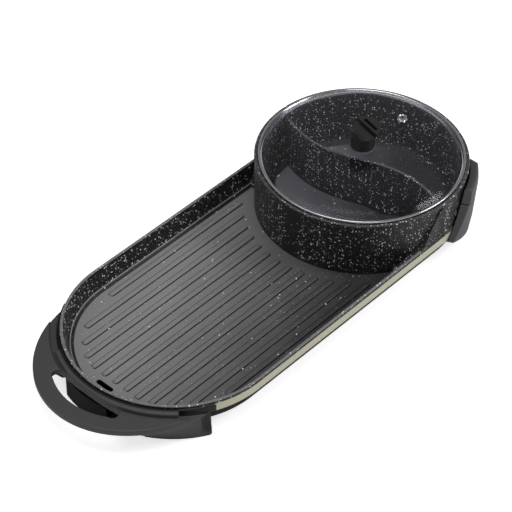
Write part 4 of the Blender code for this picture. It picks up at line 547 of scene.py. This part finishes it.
def grown(tree, end, geometry, material, **inputs):
    """End the tree, run it with the inputs set by their identifiers, and return the plain mesh."""
    real = add(tree, "GeometryNodeRealizeInstances", geometry)
    fill(tree, end, 0, add(tree, "GeometryNodeSetMaterial", real, {"Material": material}))
    holder = linked("holder", bpy.data.meshes.new("empty"))
    step = holder.modifiers.new("nodes", "NODES")
    step.node_group = tree
    names = {item.name: item.identifier for item in tree.interface.items_tree
             if item.item_type == "SOCKET" and item.in_out == "INPUT"}
    for label, value in inputs.items():
        step[names[label]] = value
    return evaluated(holder)


# %% Grill ribs
SUNK = 0.6 * MM  # how far under the floor a rib is rooted


def rib_mesh():
    sizes = {"Count": 13.0, "Pitch": 18.6 * MM, "Shift": 1.8 * MM, "Half width": 3.2 * MM, "Height": 2.0 * MM,
             "Shade strip": 1.9 * MM, "End radius": 112.5 * MM, "Pot radius": 155 * MM, "First": POT_X - 453.5 * MM}
    tree, size, end = node_tree("grill_rib_rows", **sizes)
    node = partial(add, tree)
    rows = node("SUBTRACT", size["Count"], 1.0)
    grid = node("GeometryNodeMeshGrid", {"Size X": 1.0, "Vertices X": 33, "Vertices Y": size["Count"],
                                         "Size Y": node("MULTIPLY", rows, size["Pitch"])})
    ends = node("GeometryNodeInputMeshEdgeVertices")
    step = node("SUBTRACT", *(node(UNPACK, ends.outputs[k]).outputs[1] for k in (2, 3)))
    between_rows = node("FunctionNodeCompare", node("ABSOLUTE", step), MM, operation="GREATER_THAN")
    rib_rows = node("GeometryNodeDeleteGeometry", grid, between_rows, domain="EDGE")
    spot = node(UNPACK, node("GeometryNodeInputPosition"))
    eased = node(RANGE, node("ADD", spot.outputs[0], 0.5), interpolation_type="SMOOTHSTEP")
    y = node("ADD", spot.outputs[1], size["Shift"])
    square = node("MULTIPLY", y, y)

    def chord(radius):
        return node("SQRT", node("MAXIMUM", node("SUBTRACT", node("MULTIPLY", radius, radius), square), 0.0))

    def swell(side, power, reach):
        signed = node("MULTIPLY", node("SIGN", side), node("POWER", node("ABSOLUTE", side), power))
        return node("MULTIPLY", reach, signed)

    start = node("MAXIMUM", node("SUBTRACT", GRILL_X, chord(size["End radius"])), size["First"])
    last = node("SUBTRACT", POT_X, chord(size["Pot radius"]))
    ring = node("GeometryNodeCurvePrimitiveCircle", {"Resolution": 24, "Radius": 1.0})
    both = node("GeometryNodeJoinGeometry")
    # The second profile is a low, wide foot round each rib, coloured dark as painted shade.
    for reach, half, height in ((0.0, size["Half width"], node("ADD", size["Height"], SUNK)),
                                (size["Shade strip"], node("ADD", size["Half width"], size["Shade strip"]), 0.75 * MM)):
        first = node("SUBTRACT", start, reach)
        x = node("MULTIPLY_ADD", eased, node("SUBTRACT", node("ADD", last, reach), first), first)
        moved = node(PLACE, rib_rows, {"Position": node(XYZ, x, y, FLOOR_Z - SUNK)})
        along = node("GeometryNodeSplineParameter").outputs["Length"]
        rest = node("SUBTRACT", node("GeometryNodeSplineLength"), along)
        near = node("DIVIDE", node("MINIMUM", along, rest), half)
        left = node("SUBTRACT", 1.0, node("MINIMUM", near, 1.0))
        slim = node("SUBTRACT", 1.0, node("MULTIPLY", left, left))
        slim = node("SQRT", node("MAXIMUM", slim, 0.03))
        around = node(UNPACK, node("GeometryNodeInputPosition"))
        profile = node(PLACE, ring, {"Position": node(XYZ, swell(around.outputs[0], 0.55, half),
                                                      swell(around.outputs[1], 0.35, height))})
        shaped = node("GeometryNodeSetCurveRadius", node("GeometryNodeMeshToCurve", moved), {"Radius": slim})
        body = node("GeometryNodeCurveToMesh", shaped, profile, {"Fill Caps": True})
        if "Scale" in body.inputs:
            fill(tree, body, "Scale", slim)
        fill(tree, both, 0, body)
    return grown(tree, end, both, GRANITE_RIBS, **sizes)


piece("grill_ribs", rib_mesh(), GRANITE_RIBS, "base", smooth=60)

# %% [markdown]
# Below the pan's skirt comes the champagne band, a rolled steel strip with a turned-in foot, and below it the black
# pressed dish. Both are skins of stadium rings. The dish keeps its vents, its tray room and its cable door.

# %% Band and dish
BAND = ((1.4, 0), (0.7, 0.2), (0.6, 0.9), (0.6, 12), (0.8, 12.5), (1.6, 12.5), (1.6, 1), (5.8, 1), (5.8, 0))
DISH = ((30, 6), (26, 6.6), (21, 7.9), (16.5, 10.5), (12, 13.8), (8.5, 19.6), (6.2, 25), (4.8, 29.9), (4.2, 32.8),
        (4, 34.7))


def screw_hole(centre, angle, radius):
    """Level bore through the wall, where a screw holds the handle or a leg."""
    c, s = cos(radians(angle)), sin(radians(angle))
    return rod(*((centre + r * MM * c, r * MM * s, 14 * MM) for r in (119, 139.5)), radius)


def base_dish():
    inner = [(inset + 1.2, z + (1.2 if z < 7.5 else 0.2)) for inset, z in DISH[:-1]]
    inner.append((DISH[-1][0] + 1.2, DISH[-1][1]))
    low, high = -4 * MM, 7.35 * MM
    tools = [block(-516, -443.2, -43.2, 43.2, -4, 19.2, (POT_X, SLOT_Y, 0)), block(70, 150, -16, 16, 7.5, 20)]
    tools += [rod((*at, low), (*at, high), 2.4 * MM) for at in BOSSES]
    tools += [prism(capsule(POT_X - 300 * MM, POT_X - 250 * MM, (k - 1.5) * 16 * MM, 1.75 * MM), low, high)
              for k in range(4)]
    tools += [screw_hole(centre, angle, 2.4 * MM) for centre, angle in (
        (GRILL_X, 134), (GRILL_X, -134), (POT_X, 47), (POT_X, -47))]
    return cut(skin(stadiums(DISH) + stadiums(inner)[::-1]), *tools)


piece("champagne_band", skin(stadiums(BAND, BAND_LOW_Z), closed=True), CHAMPAGNE, "base",
      ["base_band"])
piece("pressed_dish", base_dish(), ENAMEL, "base", ["base_dish"])

# %% [markdown]
# The grill-end handle is a thick phenolic moulding: a flat loop on two legs, with a finger opening and a raised lip
# that hugs the pan, set off from the loop by a narrow channel that is deeper past the lip.

# %% Grill-end handle
LOOP_X, LOOP_RX, LOOP_RY = GRILL_X - 50 * MM, 145 * MM, 126 * MM
LOOP_CUT = GRILL_X - 63 * MM
LOOP_TOP, LOOP_LOW, LIP_TOP = 45.5 * MM, 36.5 * MM, 48.5 * MM


def core():
    """What the end pieces must clear: dish, band, skirt and pot wall with a little air."""
    rings = [stadium(DISH[0][0] * MM, -4 * MM)] + stadiums([(inset - 0.6, z) for inset, z in DISH])
    return skin(rings + [stadium(-0.6 * MM, 34.85 * MM), stadium(-0.6 * MM, POT_RIM_Z + OVER)])


def loop_reach(angle):
    """Distance from the grill's centre to the loop's outline."""
    c, s = cos(radians(angle)), sin(radians(angle))
    shift = GRILL_X - LOOP_X
    a = (c / LOOP_RX) ** 2 + (s / LOOP_RY) ** 2
    b = 2 * shift * c / LOOP_RX ** 2
    return (-b + sqrt(b * b - 4 * a * ((shift / LOOP_RX) ** 2 - 1))) / (2 * a)


def loop_ring(inset, z):
    half = degrees(acos((LOOP_CUT - LOOP_X) / (LOOP_RX - inset)))
    return [(x, y, z) for x, y in arc(LOOP_X, 0, LOOP_RX - inset, LOOP_RY - inset, half, 360 - half, 110)]


def leg(first, last):
    def ring(share, z):
        angles = [first + (last - first) * k / 24 for k in range(25)]
        foot = 145 * MM
        points = [(foot + (loop_reach(a) - 3 * MM - foot) * share, a) for a in angles]
        points += [(116 * MM, a) for a in reversed(angles)]
        return [(GRILL_X + r * cos(radians(a)), r * sin(radians(a)), z) for r, a in points]

    return skin([ring(0, 2.5 * MM), ring(0.5, 19.5 * MM), ring(1, LOOP_LOW), ring(1, LOOP_LOW + 2 * MM)])


def finger_opening():
    out_x, out_y, in_x, in_y = 123.5 * MM, 103 * MM, 98 * MM, 200 * MM
    half = degrees(asin(out_y * sin(radians(27)) / in_y))
    outer = arc(LOOP_X, 0, out_x, out_y, 153, 207, 40)
    inner = arc(LOOP_X, 0, in_x, in_y, 180 + half, 180 - half, 24)
    middle, radius = (outer[-1][0] + inner[0][0]) / 2, (inner[0][0] - outer[-1][0]) / 2
    near = arc(middle, outer[-1][1], radius, radius, 180, 360, 12)
    far = arc(middle, outer[0][1], radius, radius, 0, 180, 12)
    return outer[:-1] + near + inner[1:-1] + far[:-1]


def sector(first, last):
    """Wedge about the grill's centre, from the first angle to the last."""
    return prism([(GRILL_X, 0)] + arc(GRILL_X, 0, 0.3, 0.3, first, last, 12), 0, 0.2)


def channel(start, reach, floor, first, last):
    """Cutter for the gap between the pan's side and the plate, in millimetres, from one angle to another."""
    corners = ((-start, floor), (-reach, floor), (-reach, 10), (-start, 10))
    return keep(skin(stadiums(corners, LOOP_LOW), closed=True), sector(first, last))


def grill_handle():
    plate = skin([loop_ring(2 * MM, LOOP_LOW), loop_ring(0, LOOP_LOW + MM), loop_ring(0, LOOP_TOP - MM),
                  loop_ring(MM, LOOP_TOP)])
    lip = skin([stadium(-9.5 * MM, LOOP_LOW + MM)] + stadiums(((-9.5, -1), (-8.9, 0), (-1.5, 1.2)), LIP_TOP))
    wall = skin([stadium(-2.6 * MM, LOOP_LOW + MM)] + stadiums(((-2.6, -4.4), (-1.2, -4.2)), RIM_Z))
    plate = cut(plate, channel(0.5, 13, 5.5, 119, 242))
    handle = fuse(plate, keep(lip, sector(150, 226)), keep(wall, sector(117, 244.5)), leg(209, 242), leg(118, 151))
    handle = cut(handle, core(), prism(finger_opening(), 0, 0.2),
                 *(screw_hole(GRILL_X, angle, 1.9 * MM) for angle in (134, -134)))
    return cut(handle, channel(3.4, 14.5, 3, 226.2, 241.5))


piece("grill_end_handle", moulded(grill_handle(), 0.95 * MM, 4), HANDLE_PLASTIC, "base",
      ["grill_handle"], smooth=0)

# %% [markdown]
# The pot end has a moulded housing with a slanted near edge and a sloping seam, and a leg under the seam on each
# side. The drawing is the CAD's, in finer steps, with the pot's axis as its origin.

# %% Pot-end housing and legs
END, TOP, FULL, EDGE, WALL = 160 * MM, 94 * MM, 80 * MM, 4 * MM, 2.8 * MM
SEAM_FALL, LEAN, BEND = 0.36, 0.65, 70 * MM
CONTROL_Y, CONTROL_Z, LAMP_Y, LAMP_Z = 29.5 * MM, 39 * MM, 15.5 * MM, 50 * MM


def seam(x):
    return 80 * MM - SEAM_FALL * (min(x, BEND) - 33 * MM) - 0.62 * max(x - BEND, 0)


def edge_at(z):
    return 7 * MM + LEAN * (z - BAND_LOW_Z)


def house_ring(inset, z, steps=28):
    half = []
    for k in range(steps + 1):
        share = k / steps
        turn = radians(-92 + 55 * share)
        r = (148 + 5.5 * sin(share * pi / 2)) * MM - inset
        half.append((r * cos(turn), r * sin(turn)))
    start = Vector(half[-1])
    along = (start - Vector(half[-2])).normalized()
    corner = start + along * (END - inset - start.x) / along.x
    before, after = corner - along * 13.5 * MM, corner + Vector((0, 9 * MM))
    for k in range(13):
        t = k / 12
        half.append(tuple(before * (1 - t) ** 2 + corner * 2 * t * (1 - t) + after * t * t))
    return [(POT_X + x, y, z) for x, y in half + [(x, -y) for x, y in reversed(half)]]


def house(low):
    return skin([house_ring(inset * MM, z) for inset, z in (
        (6.5, low), (2.8, 30 * MM), (0, FULL), (1, TOP - EDGE), (2, TOP - 1.6 * MM), (4, TOP))])


def relief(side):
    """Cutter that takes the corner off the slanted near edge, so that only a thin dark facet is left."""
    rings = []
    for z in (-OVER, 120 * MM):
        edge = edge_at(z)
        face = sqrt((148.6 * MM) ** 2 - edge ** 2)
        corners = mm(((-11, -12.1), (27.5, 14.5), (27.5, 30), (-11, 30)))
        rings.append([(POT_X + edge + x, side * (face + y), z) for x, y in corners])
    return skin(rings)


def over_shoulder(drop):
    outline = mm(((100, 94), (104, 92), (122, 62), (126, 58), (156, 58), (160, 54), (180, 54), (180, 130), (100, 130)))
    return upright([(x - drop, z - drop) for x, z in outline])


def housing():
    left, seam_end, high = -70 * MM, 122.3 * MM, 0.12
    below = upright([(left, -0.14), (seam_end, -0.14), (seam_end, seam(seam_end)), (BEND, seam(BEND)),
                     (left, seam(left))])
    before = upright([(left, -OVER), (left, high), (edge_at(high), high), (edge_at(-OVER), -OVER)])
    room = skin([house_ring(3.5 * MM + WALL, 22.8 * MM), house_ring(WALL, FULL), house_ring(WALL, TOP - WALL)])
    room = keep(room, block(70, 180, -62, 62, 0, 55.2))
    tools = [core(), below, before, over_shoulder(0), cut(room, over_shoulder(WALL)), relief(-1), relief(1)]
    face, past = POT_X + END - 16 * MM, POT_X + END + 20 * MM
    for side in (-1, 1):
        for y, z, radius in ((CONTROL_Y, CONTROL_Z, 3.5 * MM), (LAMP_Y, LAMP_Z, 2.8 * MM)):
            tools.append(rod((face, side * y, z), (past, side * y, z), radius))
    tools += [block(144, 180, -12.3, 12.3, 25.7, 43.3), block(70, 141.5, -16, 16, 10, 23.1)]
    return cut(house(20 * MM), *tools)


def pot_leg(side):
    top_x = (7 * MM + LEAN * (80 * MM + SEAM_FALL * 33 * MM - BAND_LOW_Z)) / (1 + LEAN * SEAM_FALL)
    outline = [(7 * MM, BAND_LOW_Z), (82 * MM, 2.5 * MM), (118 * MM, 2.5 * MM)]
    outline += [(x, seam(x) - 1.1 * MM) for x in (122 * MM, BEND, top_x)]
    shape = keep(house(0), upright(outline, *sorted((side * 46 * MM, side * 160 * MM))))
    c, s = cos(radians(47.1)), sin(radians(47.1)) * side
    at = (POT_X + 145.4 * MM * c, 145.4 * MM * s)
    return cut(shape, core(), rod((*at, -OVER), (*at, 12.3 * MM), 3.7 * MM), relief(side))


piece("pot_end_shell", moulded(housing(), 1.0 * MM, 3), PLASTIC, "base", ["pot_end_housing"], smooth=0)
for side, label in ((-1, "near"), (1, "far")):
    piece("pot_end_leg_" + label, moulded(pot_leg(side), 0.8 * MM, 3), PLASTIC, "base",
          ["pot_leg_" + label], smooth=0)

# %% [markdown]
# The lid is a pressed and tempered glass dome, bound by a rolled stainless rim. The glass is one closed wall, about
# 4 mm thick, so that its edge bends light. The rim is turned from a rounded profile.

# %% Lid glass and rim
SEAT_Z = lid_low.z
GLASS_T, GLASS_R = 3.6 * MM, 133.3 * MM
VENT = (POT_X + 81 * MM, 0.0)
DOME = ((1, 0), (0.985, 0), (0.97, 0.07), (0.955, 0.2), (0.942, 0.32), (0.93, 0.42), (0.917, 0.505), (0.9, 0.58),
        (0.875, 0.645), (0.85, 0.7), (0.78, 0.77), (0.7, 0.83), (0.6, 0.885), (0.5, 0.93), (0.37, 0.965),
        (0.25, 0.985), (0.12, 0.997), (0, 1))
RIM = ((129, 0.3), (129.4, 0), (133.9, 0), (134.4, 0.25), (134.6, 0.8), (134.6, 5.2), (134.4, 5.8), (133.9, 6.15),
       (133.2, 6.2), (131.9, 6.1), (131.5, 5.7), (131.7, 5.25), (133.6, 5.2), (133.6, 1), (129.3, 1))


def dome(lift):
    base, top = SEAT_Z + 1.3 * MM + lift, SEAT_Z + 14.4 * MM + lift
    return [(share * GLASS_R, base + up * (top - base)) for share, up in DOME]


def glass_z(radius, lift):
    for (r0, z0), (r1, z1) in zip(dome(lift), dome(lift)[1:]):
        if r1 <= radius <= r0:
            return z0 + (z1 - z0) * (r0 - radius) / max(r0 - r1, 1e-9)


glass = cut(turned(dome(0)[::-1] + dome(GLASS_T)),
            *(rod((*at, 0.09), (*at, 0.14), radius) for at, radius in (((POT_X, 0), 3.5 * MM), (VENT, 4.5 * MM))))
piece("lid_dome", glass, GLASS, "lid", ["lid_glass"], smooth=50)
piece("lid_rim_rolled", turned(mm(RIM, SEAT_Z), steps=180, closed=True), STEEL, "lid", ["lid_rim"],
      smooth=60)

# %% [markdown]
# The lid knob doubles as a spoon rest. Its waist is round, and a saddle cut in its top leaves a thin horn in front
# and a raised back with a slot for a spoon. It is rounded as the handle is, with a finer voxel.

# %% Lid knob, gasket and vent
KNOB_LOW, KNOB_LEAN = SEAT_Z + 18 * MM + 1.8 * MM, 2.4 * MM


def lid_knob():
    body = turned(mm(((0, 0), (15.6, 0), (16, 1), (16.1, 10), (16.7, 17), (18.4, 23), (20.3, 28.2), (20.3, 29),
                      (0, 29))), (0, 0), 96)
    for vertex in body.vertices:
        vertex.co.x += KNOB_LEAN * max(0.0, (vertex.co.z - 10 * MM) / (19 * MM))
    saddle = rod((-5.4 * MM, -48 * MM, 29.8 * MM), (-5.4 * MM, 48 * MM, 33.0 * MM), 10.9 * MM, 64)
    slot, step = (block(*sides, (0, 0, 0)) for sides in ((9, 13.6, -13.4, 13.4, 21.6, 40), (3.2, 5.6, -30, 30, 21, 45)))
    made = moulded(cut(body, saddle, step, slot, rod((0, 0, -OVER), (0, 0, 10.5 * MM), 1.9 * MM)), 0.36 * MM, 2)
    made.transform(Matrix.Translation((POT_X, 0, KNOB_LOW)) @ Matrix.Rotation(radians(-14), 4, "Z"))
    return made


def steam_vent():
    low, high = glass_z(87.2 * MM, 0) - 0.3 * MM, glass_z(74.8 * MM, GLASS_T) + 0.3 * MM
    grommet = mm(((2, -1), (6.2, -1), (6.2, 0), (4.2, 0)), low) + mm((
        (4.2, 0), (6, 0), (6.2, 0.3), (5.7, 1), (4.6, 1.1), (3.9, 0.5), (2, 0.4)), high)
    holes = []
    for k in range(5):
        turn = tau * k / 5
        at = (VENT[0] + 3.0 * MM * cos(turn), 3.0 * MM * sin(turn))
        holes.append(rod((*at, low - 5 * MM), (*at, high + 5 * MM), 0.55 * MM, 16))
    return cut(turned(grommet, VENT, 48, closed=True), *holes)


piece("spoon_rest_knob", lid_knob(), KNOB_PLASTIC, "lid", ["lid_knob"], smooth=0)
gasket = mm(((3.5, 18.3), (16.5, 18.3), (16.8, 18.6), (16.8, 19.2), (16.5, 19.5), (3.5, 19.5)), SEAT_Z)
piece("lid_gasket", turned(gasket, closed=True, steps=96), SILICONE, "lid", ["knob_gasket"])
piece("vent_grommet", steam_vent(), STEEL, "lid", ["steam_vent"])

# %% [markdown]
# The drip tray is a pressed and enamelled steel pan on two runners. Its curved front rises as a panel behind the
# finger opening, so the tray can be pulled from there.

# %% Drip tray
TRAY_BACK = POT_X - 446 * MM


def tray_ring(inset, front, z, low=-29 * MM, high=43 * MM):
    inset, front, z = inset * MM, front * MM, z * MM
    ys = [high - inset + (low - high + 2 * inset) * k / 36 for k in range(37)]
    plan = [(GRILL_X - sqrt((149.5 * MM - front) ** 2 - y ** 2), y, z) for y in ys]
    return plan + [(TRAY_BACK - inset, low + inset, z), (TRAY_BACK - inset, high - inset, z)]


def drip_tray():
    body, behind, hollow = (skin([tray_ring(*row) for row in rows]) for rows in (
        ((0.8, 0.8, 4), (0, 0, 4.8), (0, 0, 35), (0.4, 0.4, 35.5)), ((-10, 2, 16.5), (-10, 2, 46)),
        ((3, 3.8, 5.6), (1.6, 2.4, 7), (1.6, 2.4, 26))))
    return cut(fuse(cut(body, behind), block(-30, 0, -32, 46, 15.1, 16.5, (TRAY_BACK, 0, 0))), hollow)


piece("drip_tray_pressed", drip_tray(), ENAMEL, "tray", ["drip_tray"])

# %% [markdown]
# Two controls sit on the end face. The grips round a knob and the ticks of its dial are both a row of small bars
# turned about a centre, so one Geometry Nodes tree makes both. The ticks are pad printed and follow the slope of the
# face. The lamps are small domed lenses.

# %% Controls and lamps
def bars_round(name, material, place, **sizes):
    tree, size, end = node_tree(name, **sizes)
    node = partial(add, tree)
    row = node("GeometryNodeMeshLine", {"Count": size["Count"]})
    turn = node("MULTIPLY_ADD", node("GeometryNodeInputIndex"), size["Turn"], size["First"])
    across, up = (node("MULTIPLY", size["Radius"], node(way, turn)) for way in ("SINE", "COSINE"))
    spot = node(XYZ, node("MULTIPLY", up, size["Slope"]), across, up)
    cube = node("GeometryNodeMeshCube", {"Size": node(XYZ, size["Deep"], size["Wide"], size["Long"])})
    bars = node("GeometryNodeInstanceOnPoints", node(PLACE, row, {"Position": spot}), {
        "Instance": cube, "Rotation": node(XYZ, node("MULTIPLY", turn, -1.0))})
    made = grown(tree, end, bars, material, **sizes)
    made.transform(Matrix.Translation(place))
    return made


def printed_white():
    made, tree, shader = principled("pad_print_white", Roughness=0.55)
    ink = add(tree, NOISE, {"Vector": place_in(tree), "Scale": 1 / (0.8 * MM), "Detail": 1.0})
    finish_with(tree, shader, (ink, "cfcfcd", "e6e6e4"))
    return made


PRINT = printed_white()
FACE_X, KNOB_X, LENS_X = (POT_X + x * MM for x in (160 - 2.8 * 41 / 50, 160.3, 148.4))
KNOB = ((0, 10.9), (0.4, 11.3), (2.6, 11.35), (3.1, 11), (3.5, 9.7), (10.4, 9), (11, 8.7), (11.3, 8.1))
LENS_DOME = ((0, 2.4), (10.6, 2.4), (11.2, 2.3), (11.8, 1.9), (12.2, 1.3), (12.45, 0.5))


def stood(x, y, z, stations, steps):
    """A turned bar that points out of the end face. Its stations are in millimetres."""
    return bar((x, y, z), (x + 12 * MM, y, z), mm(stations), steps)


for side, label in ((-1, "grill"), (1, "pot")):
    y, body = side * CONTROL_Y, label + "_control"
    axis = (KNOB_X, y, CONTROL_Z)
    bore = rod((KNOB_X - MM, y, CONTROL_Z), (KNOB_X + 8.8 * MM, y, CONTROL_Z), 3.0 * MM)
    knob = fuse(stood(*axis, KNOB, 64), block(3, 11.8, -1.6, 1.6, -8.2, 8.2, axis))
    piece(label + "_control_knob", cut(knob, bore), KNOB_PLASTIC, body, [label + "_knob"])
    ridges = bars_round("knob_grips", KNOB_PLASTIC, (KNOB_X + 7.2 * MM, y, CONTROL_Z), Count=24.0, Radius=9.2 * MM,
                        First=0.13, Turn=tau / 24, Slope=0.0, Deep=5.6 * MM, Wide=0.9 * MM, Long=0.9 * MM)
    piece(label + "_knob_grips", ridges, KNOB_PLASTIC, body, smooth=0)
    piece(label + "_knob_pointer", block(11.75, 11.85, -0.45, 0.45, 2, 7.6, axis), PRINT, body,
          smooth=0)
    ticks = bars_round("dial_ticks", PRINT, (FACE_X, y, CONTROL_Z), Count=7.0, Radius=13.6 * MM, First=0.0,
                       Turn=radians(45), Slope=2.8 / 50, Deep=0.5 * MM, Wide=0.7 * MM, Long=2.2 * MM)
    piece(label + "_dial_ticks", ticks, PRINT, "base", smooth=0)
    piece(label + "_lamp_lens", stood(LENS_X, side * LAMP_Y, LAMP_Z, LENS_DOME, 32), LENS, "base",
          [label + "_lamp"])

# %% [markdown]
# The parts inside the base keep the CAD's own meshes: bent tube, folded sheet, turned screws. Each gets the finish of
# its real material, and what is left is zinc-plated steel.

# %% Carried-over parts
CARRIED = {HEATER_STEEL: ("grill_heater", "pot_heater"), ALUMINISED: ("heat_reflector",),
           CERAMIC: ("grill_thermostat", "pot_thermostat", "terminal_block"), PLASTIC: ("inlet_socket",),
           RUBBER: ("grill_foot_near", "grill_foot_far", "pot_foot_near", "pot_foot_far"),
           SLEEVE: ("wire_grill_live", "wire_grill_return", "wire_pot_live", "wire_pot_return")}
finish_of = {name: material for material, names in CARRIED.items() for name in names}
for name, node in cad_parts.items():
    if name in finish_of or not node.hide_render:
        node.material_slots[0].material = finish_of.get(name, ZINC_STEEL)
        print(name, node.material_slots[0].material.name)

# %% [markdown]
# The studio is a pale floor, a soft world, a large key lamp from the camera's right, a weaker one from its left and a
# top lamp, none where the lid would mirror it to the camera. Camera and see-through rays find a white background, and
# mirrored ones a dim one, so that satin black stays black. The floor adds a little white for the camera only: it reads
# white and still keeps the object's shadow.

# %% Floor, world and lamps
def floor_material():
    made, tree, shader = principled("studio_floor_pale", Base_Color=srgb("e8e8e8"), Roughness=0.9,
                                    Specular_IOR_Level=0.0)
    seen = add(tree, "MULTIPLY", add(tree, PATH).outputs["Is Camera Ray"], 0.66)
    glow = add(tree, "ShaderNodeEmission", (1, 1, 1, 1), seen)
    fill(tree, tree.nodes["Material Output"], "Surface", add(tree, "ShaderNodeAddShader", shader, glow))
    return made


floor = linked("studio_floor", prism([(-4, -4), (4, -4), (4, 4), (-4, 4)], -0.02, -0.0002))
floor.data.materials.append(floor_material())

world = bpy.data.worlds.new("studio_world")
bpy.context.scene.world = world
world.use_nodes = True
tree = world.node_tree
rays = add(tree, PATH).outputs
direct = add(tree, "MAXIMUM", rays["Is Camera Ray"], rays["Is Transmission Ray"])
level = add(tree, RANGE, direct, {"To Min": 0.42, "To Max": 1.0})
fill(tree, tree.nodes["Background"], "Strength", add(tree, "MULTIPLY_ADD", rays["Is Glossy Ray"], -0.20, level))
fill(tree, tree.nodes["Background"], "Color", (1, 1, 1, 1))

LAMPS = (("right_key_lamp", (1.05, -1.2, 1.25), 0.9, 14), ("left_fill_lamp", (-1.4, 0.5, 1.3), 1.2, 5),
         ("top_lamp", (-0.3, -0.1, 2.2), 1.4, 14))
for name, place, size, watts in LAMPS:
    light = bpy.data.lights.new(name, "AREA")
    light.shape, light.size, light.energy = "DISK", size, watts
    lamp = linked(name, light)
    lamp.location = place
    lamp.rotation_euler = (-Vector(place)).to_track_quat("-Z", "Y").to_euler()
    print(name, watts, "W")

# %% [markdown]
# The camera was fitted to the photograph's outline of the pan: a long lens, looking down by 43 degrees from the
# grill end's near side, with a slight roll.

# %% Camera
azimuth, elevation, turn = (radians(v) for v in (-48.217, 42.822, 0.930))
back = Vector((sin(azimuth) * cos(elevation), -cos(azimuth) * cos(elevation), sin(elevation)))
right = Vector((cos(azimuth), sin(azimuth), 0))
up = back.cross(right)
right, up = right * cos(turn) + up * sin(turn), up * cos(turn) - right * sin(turn)
lens = bpy.data.cameras.new("camera")
lens.lens, lens.sensor_width = 2100 / 512 * 36, 36
camera = linked("camera", lens)
camera.matrix_world = Matrix(((right.x, up.x, back.x, -1.45748), (right.y, up.y, back.y, -1.28811),
                              (right.z, up.z, back.z, 1.85537), (0, 0, 0, 1)))
bpy.context.scene.camera = camera
bpy.context.scene.view_settings.view_transform = "Standard"
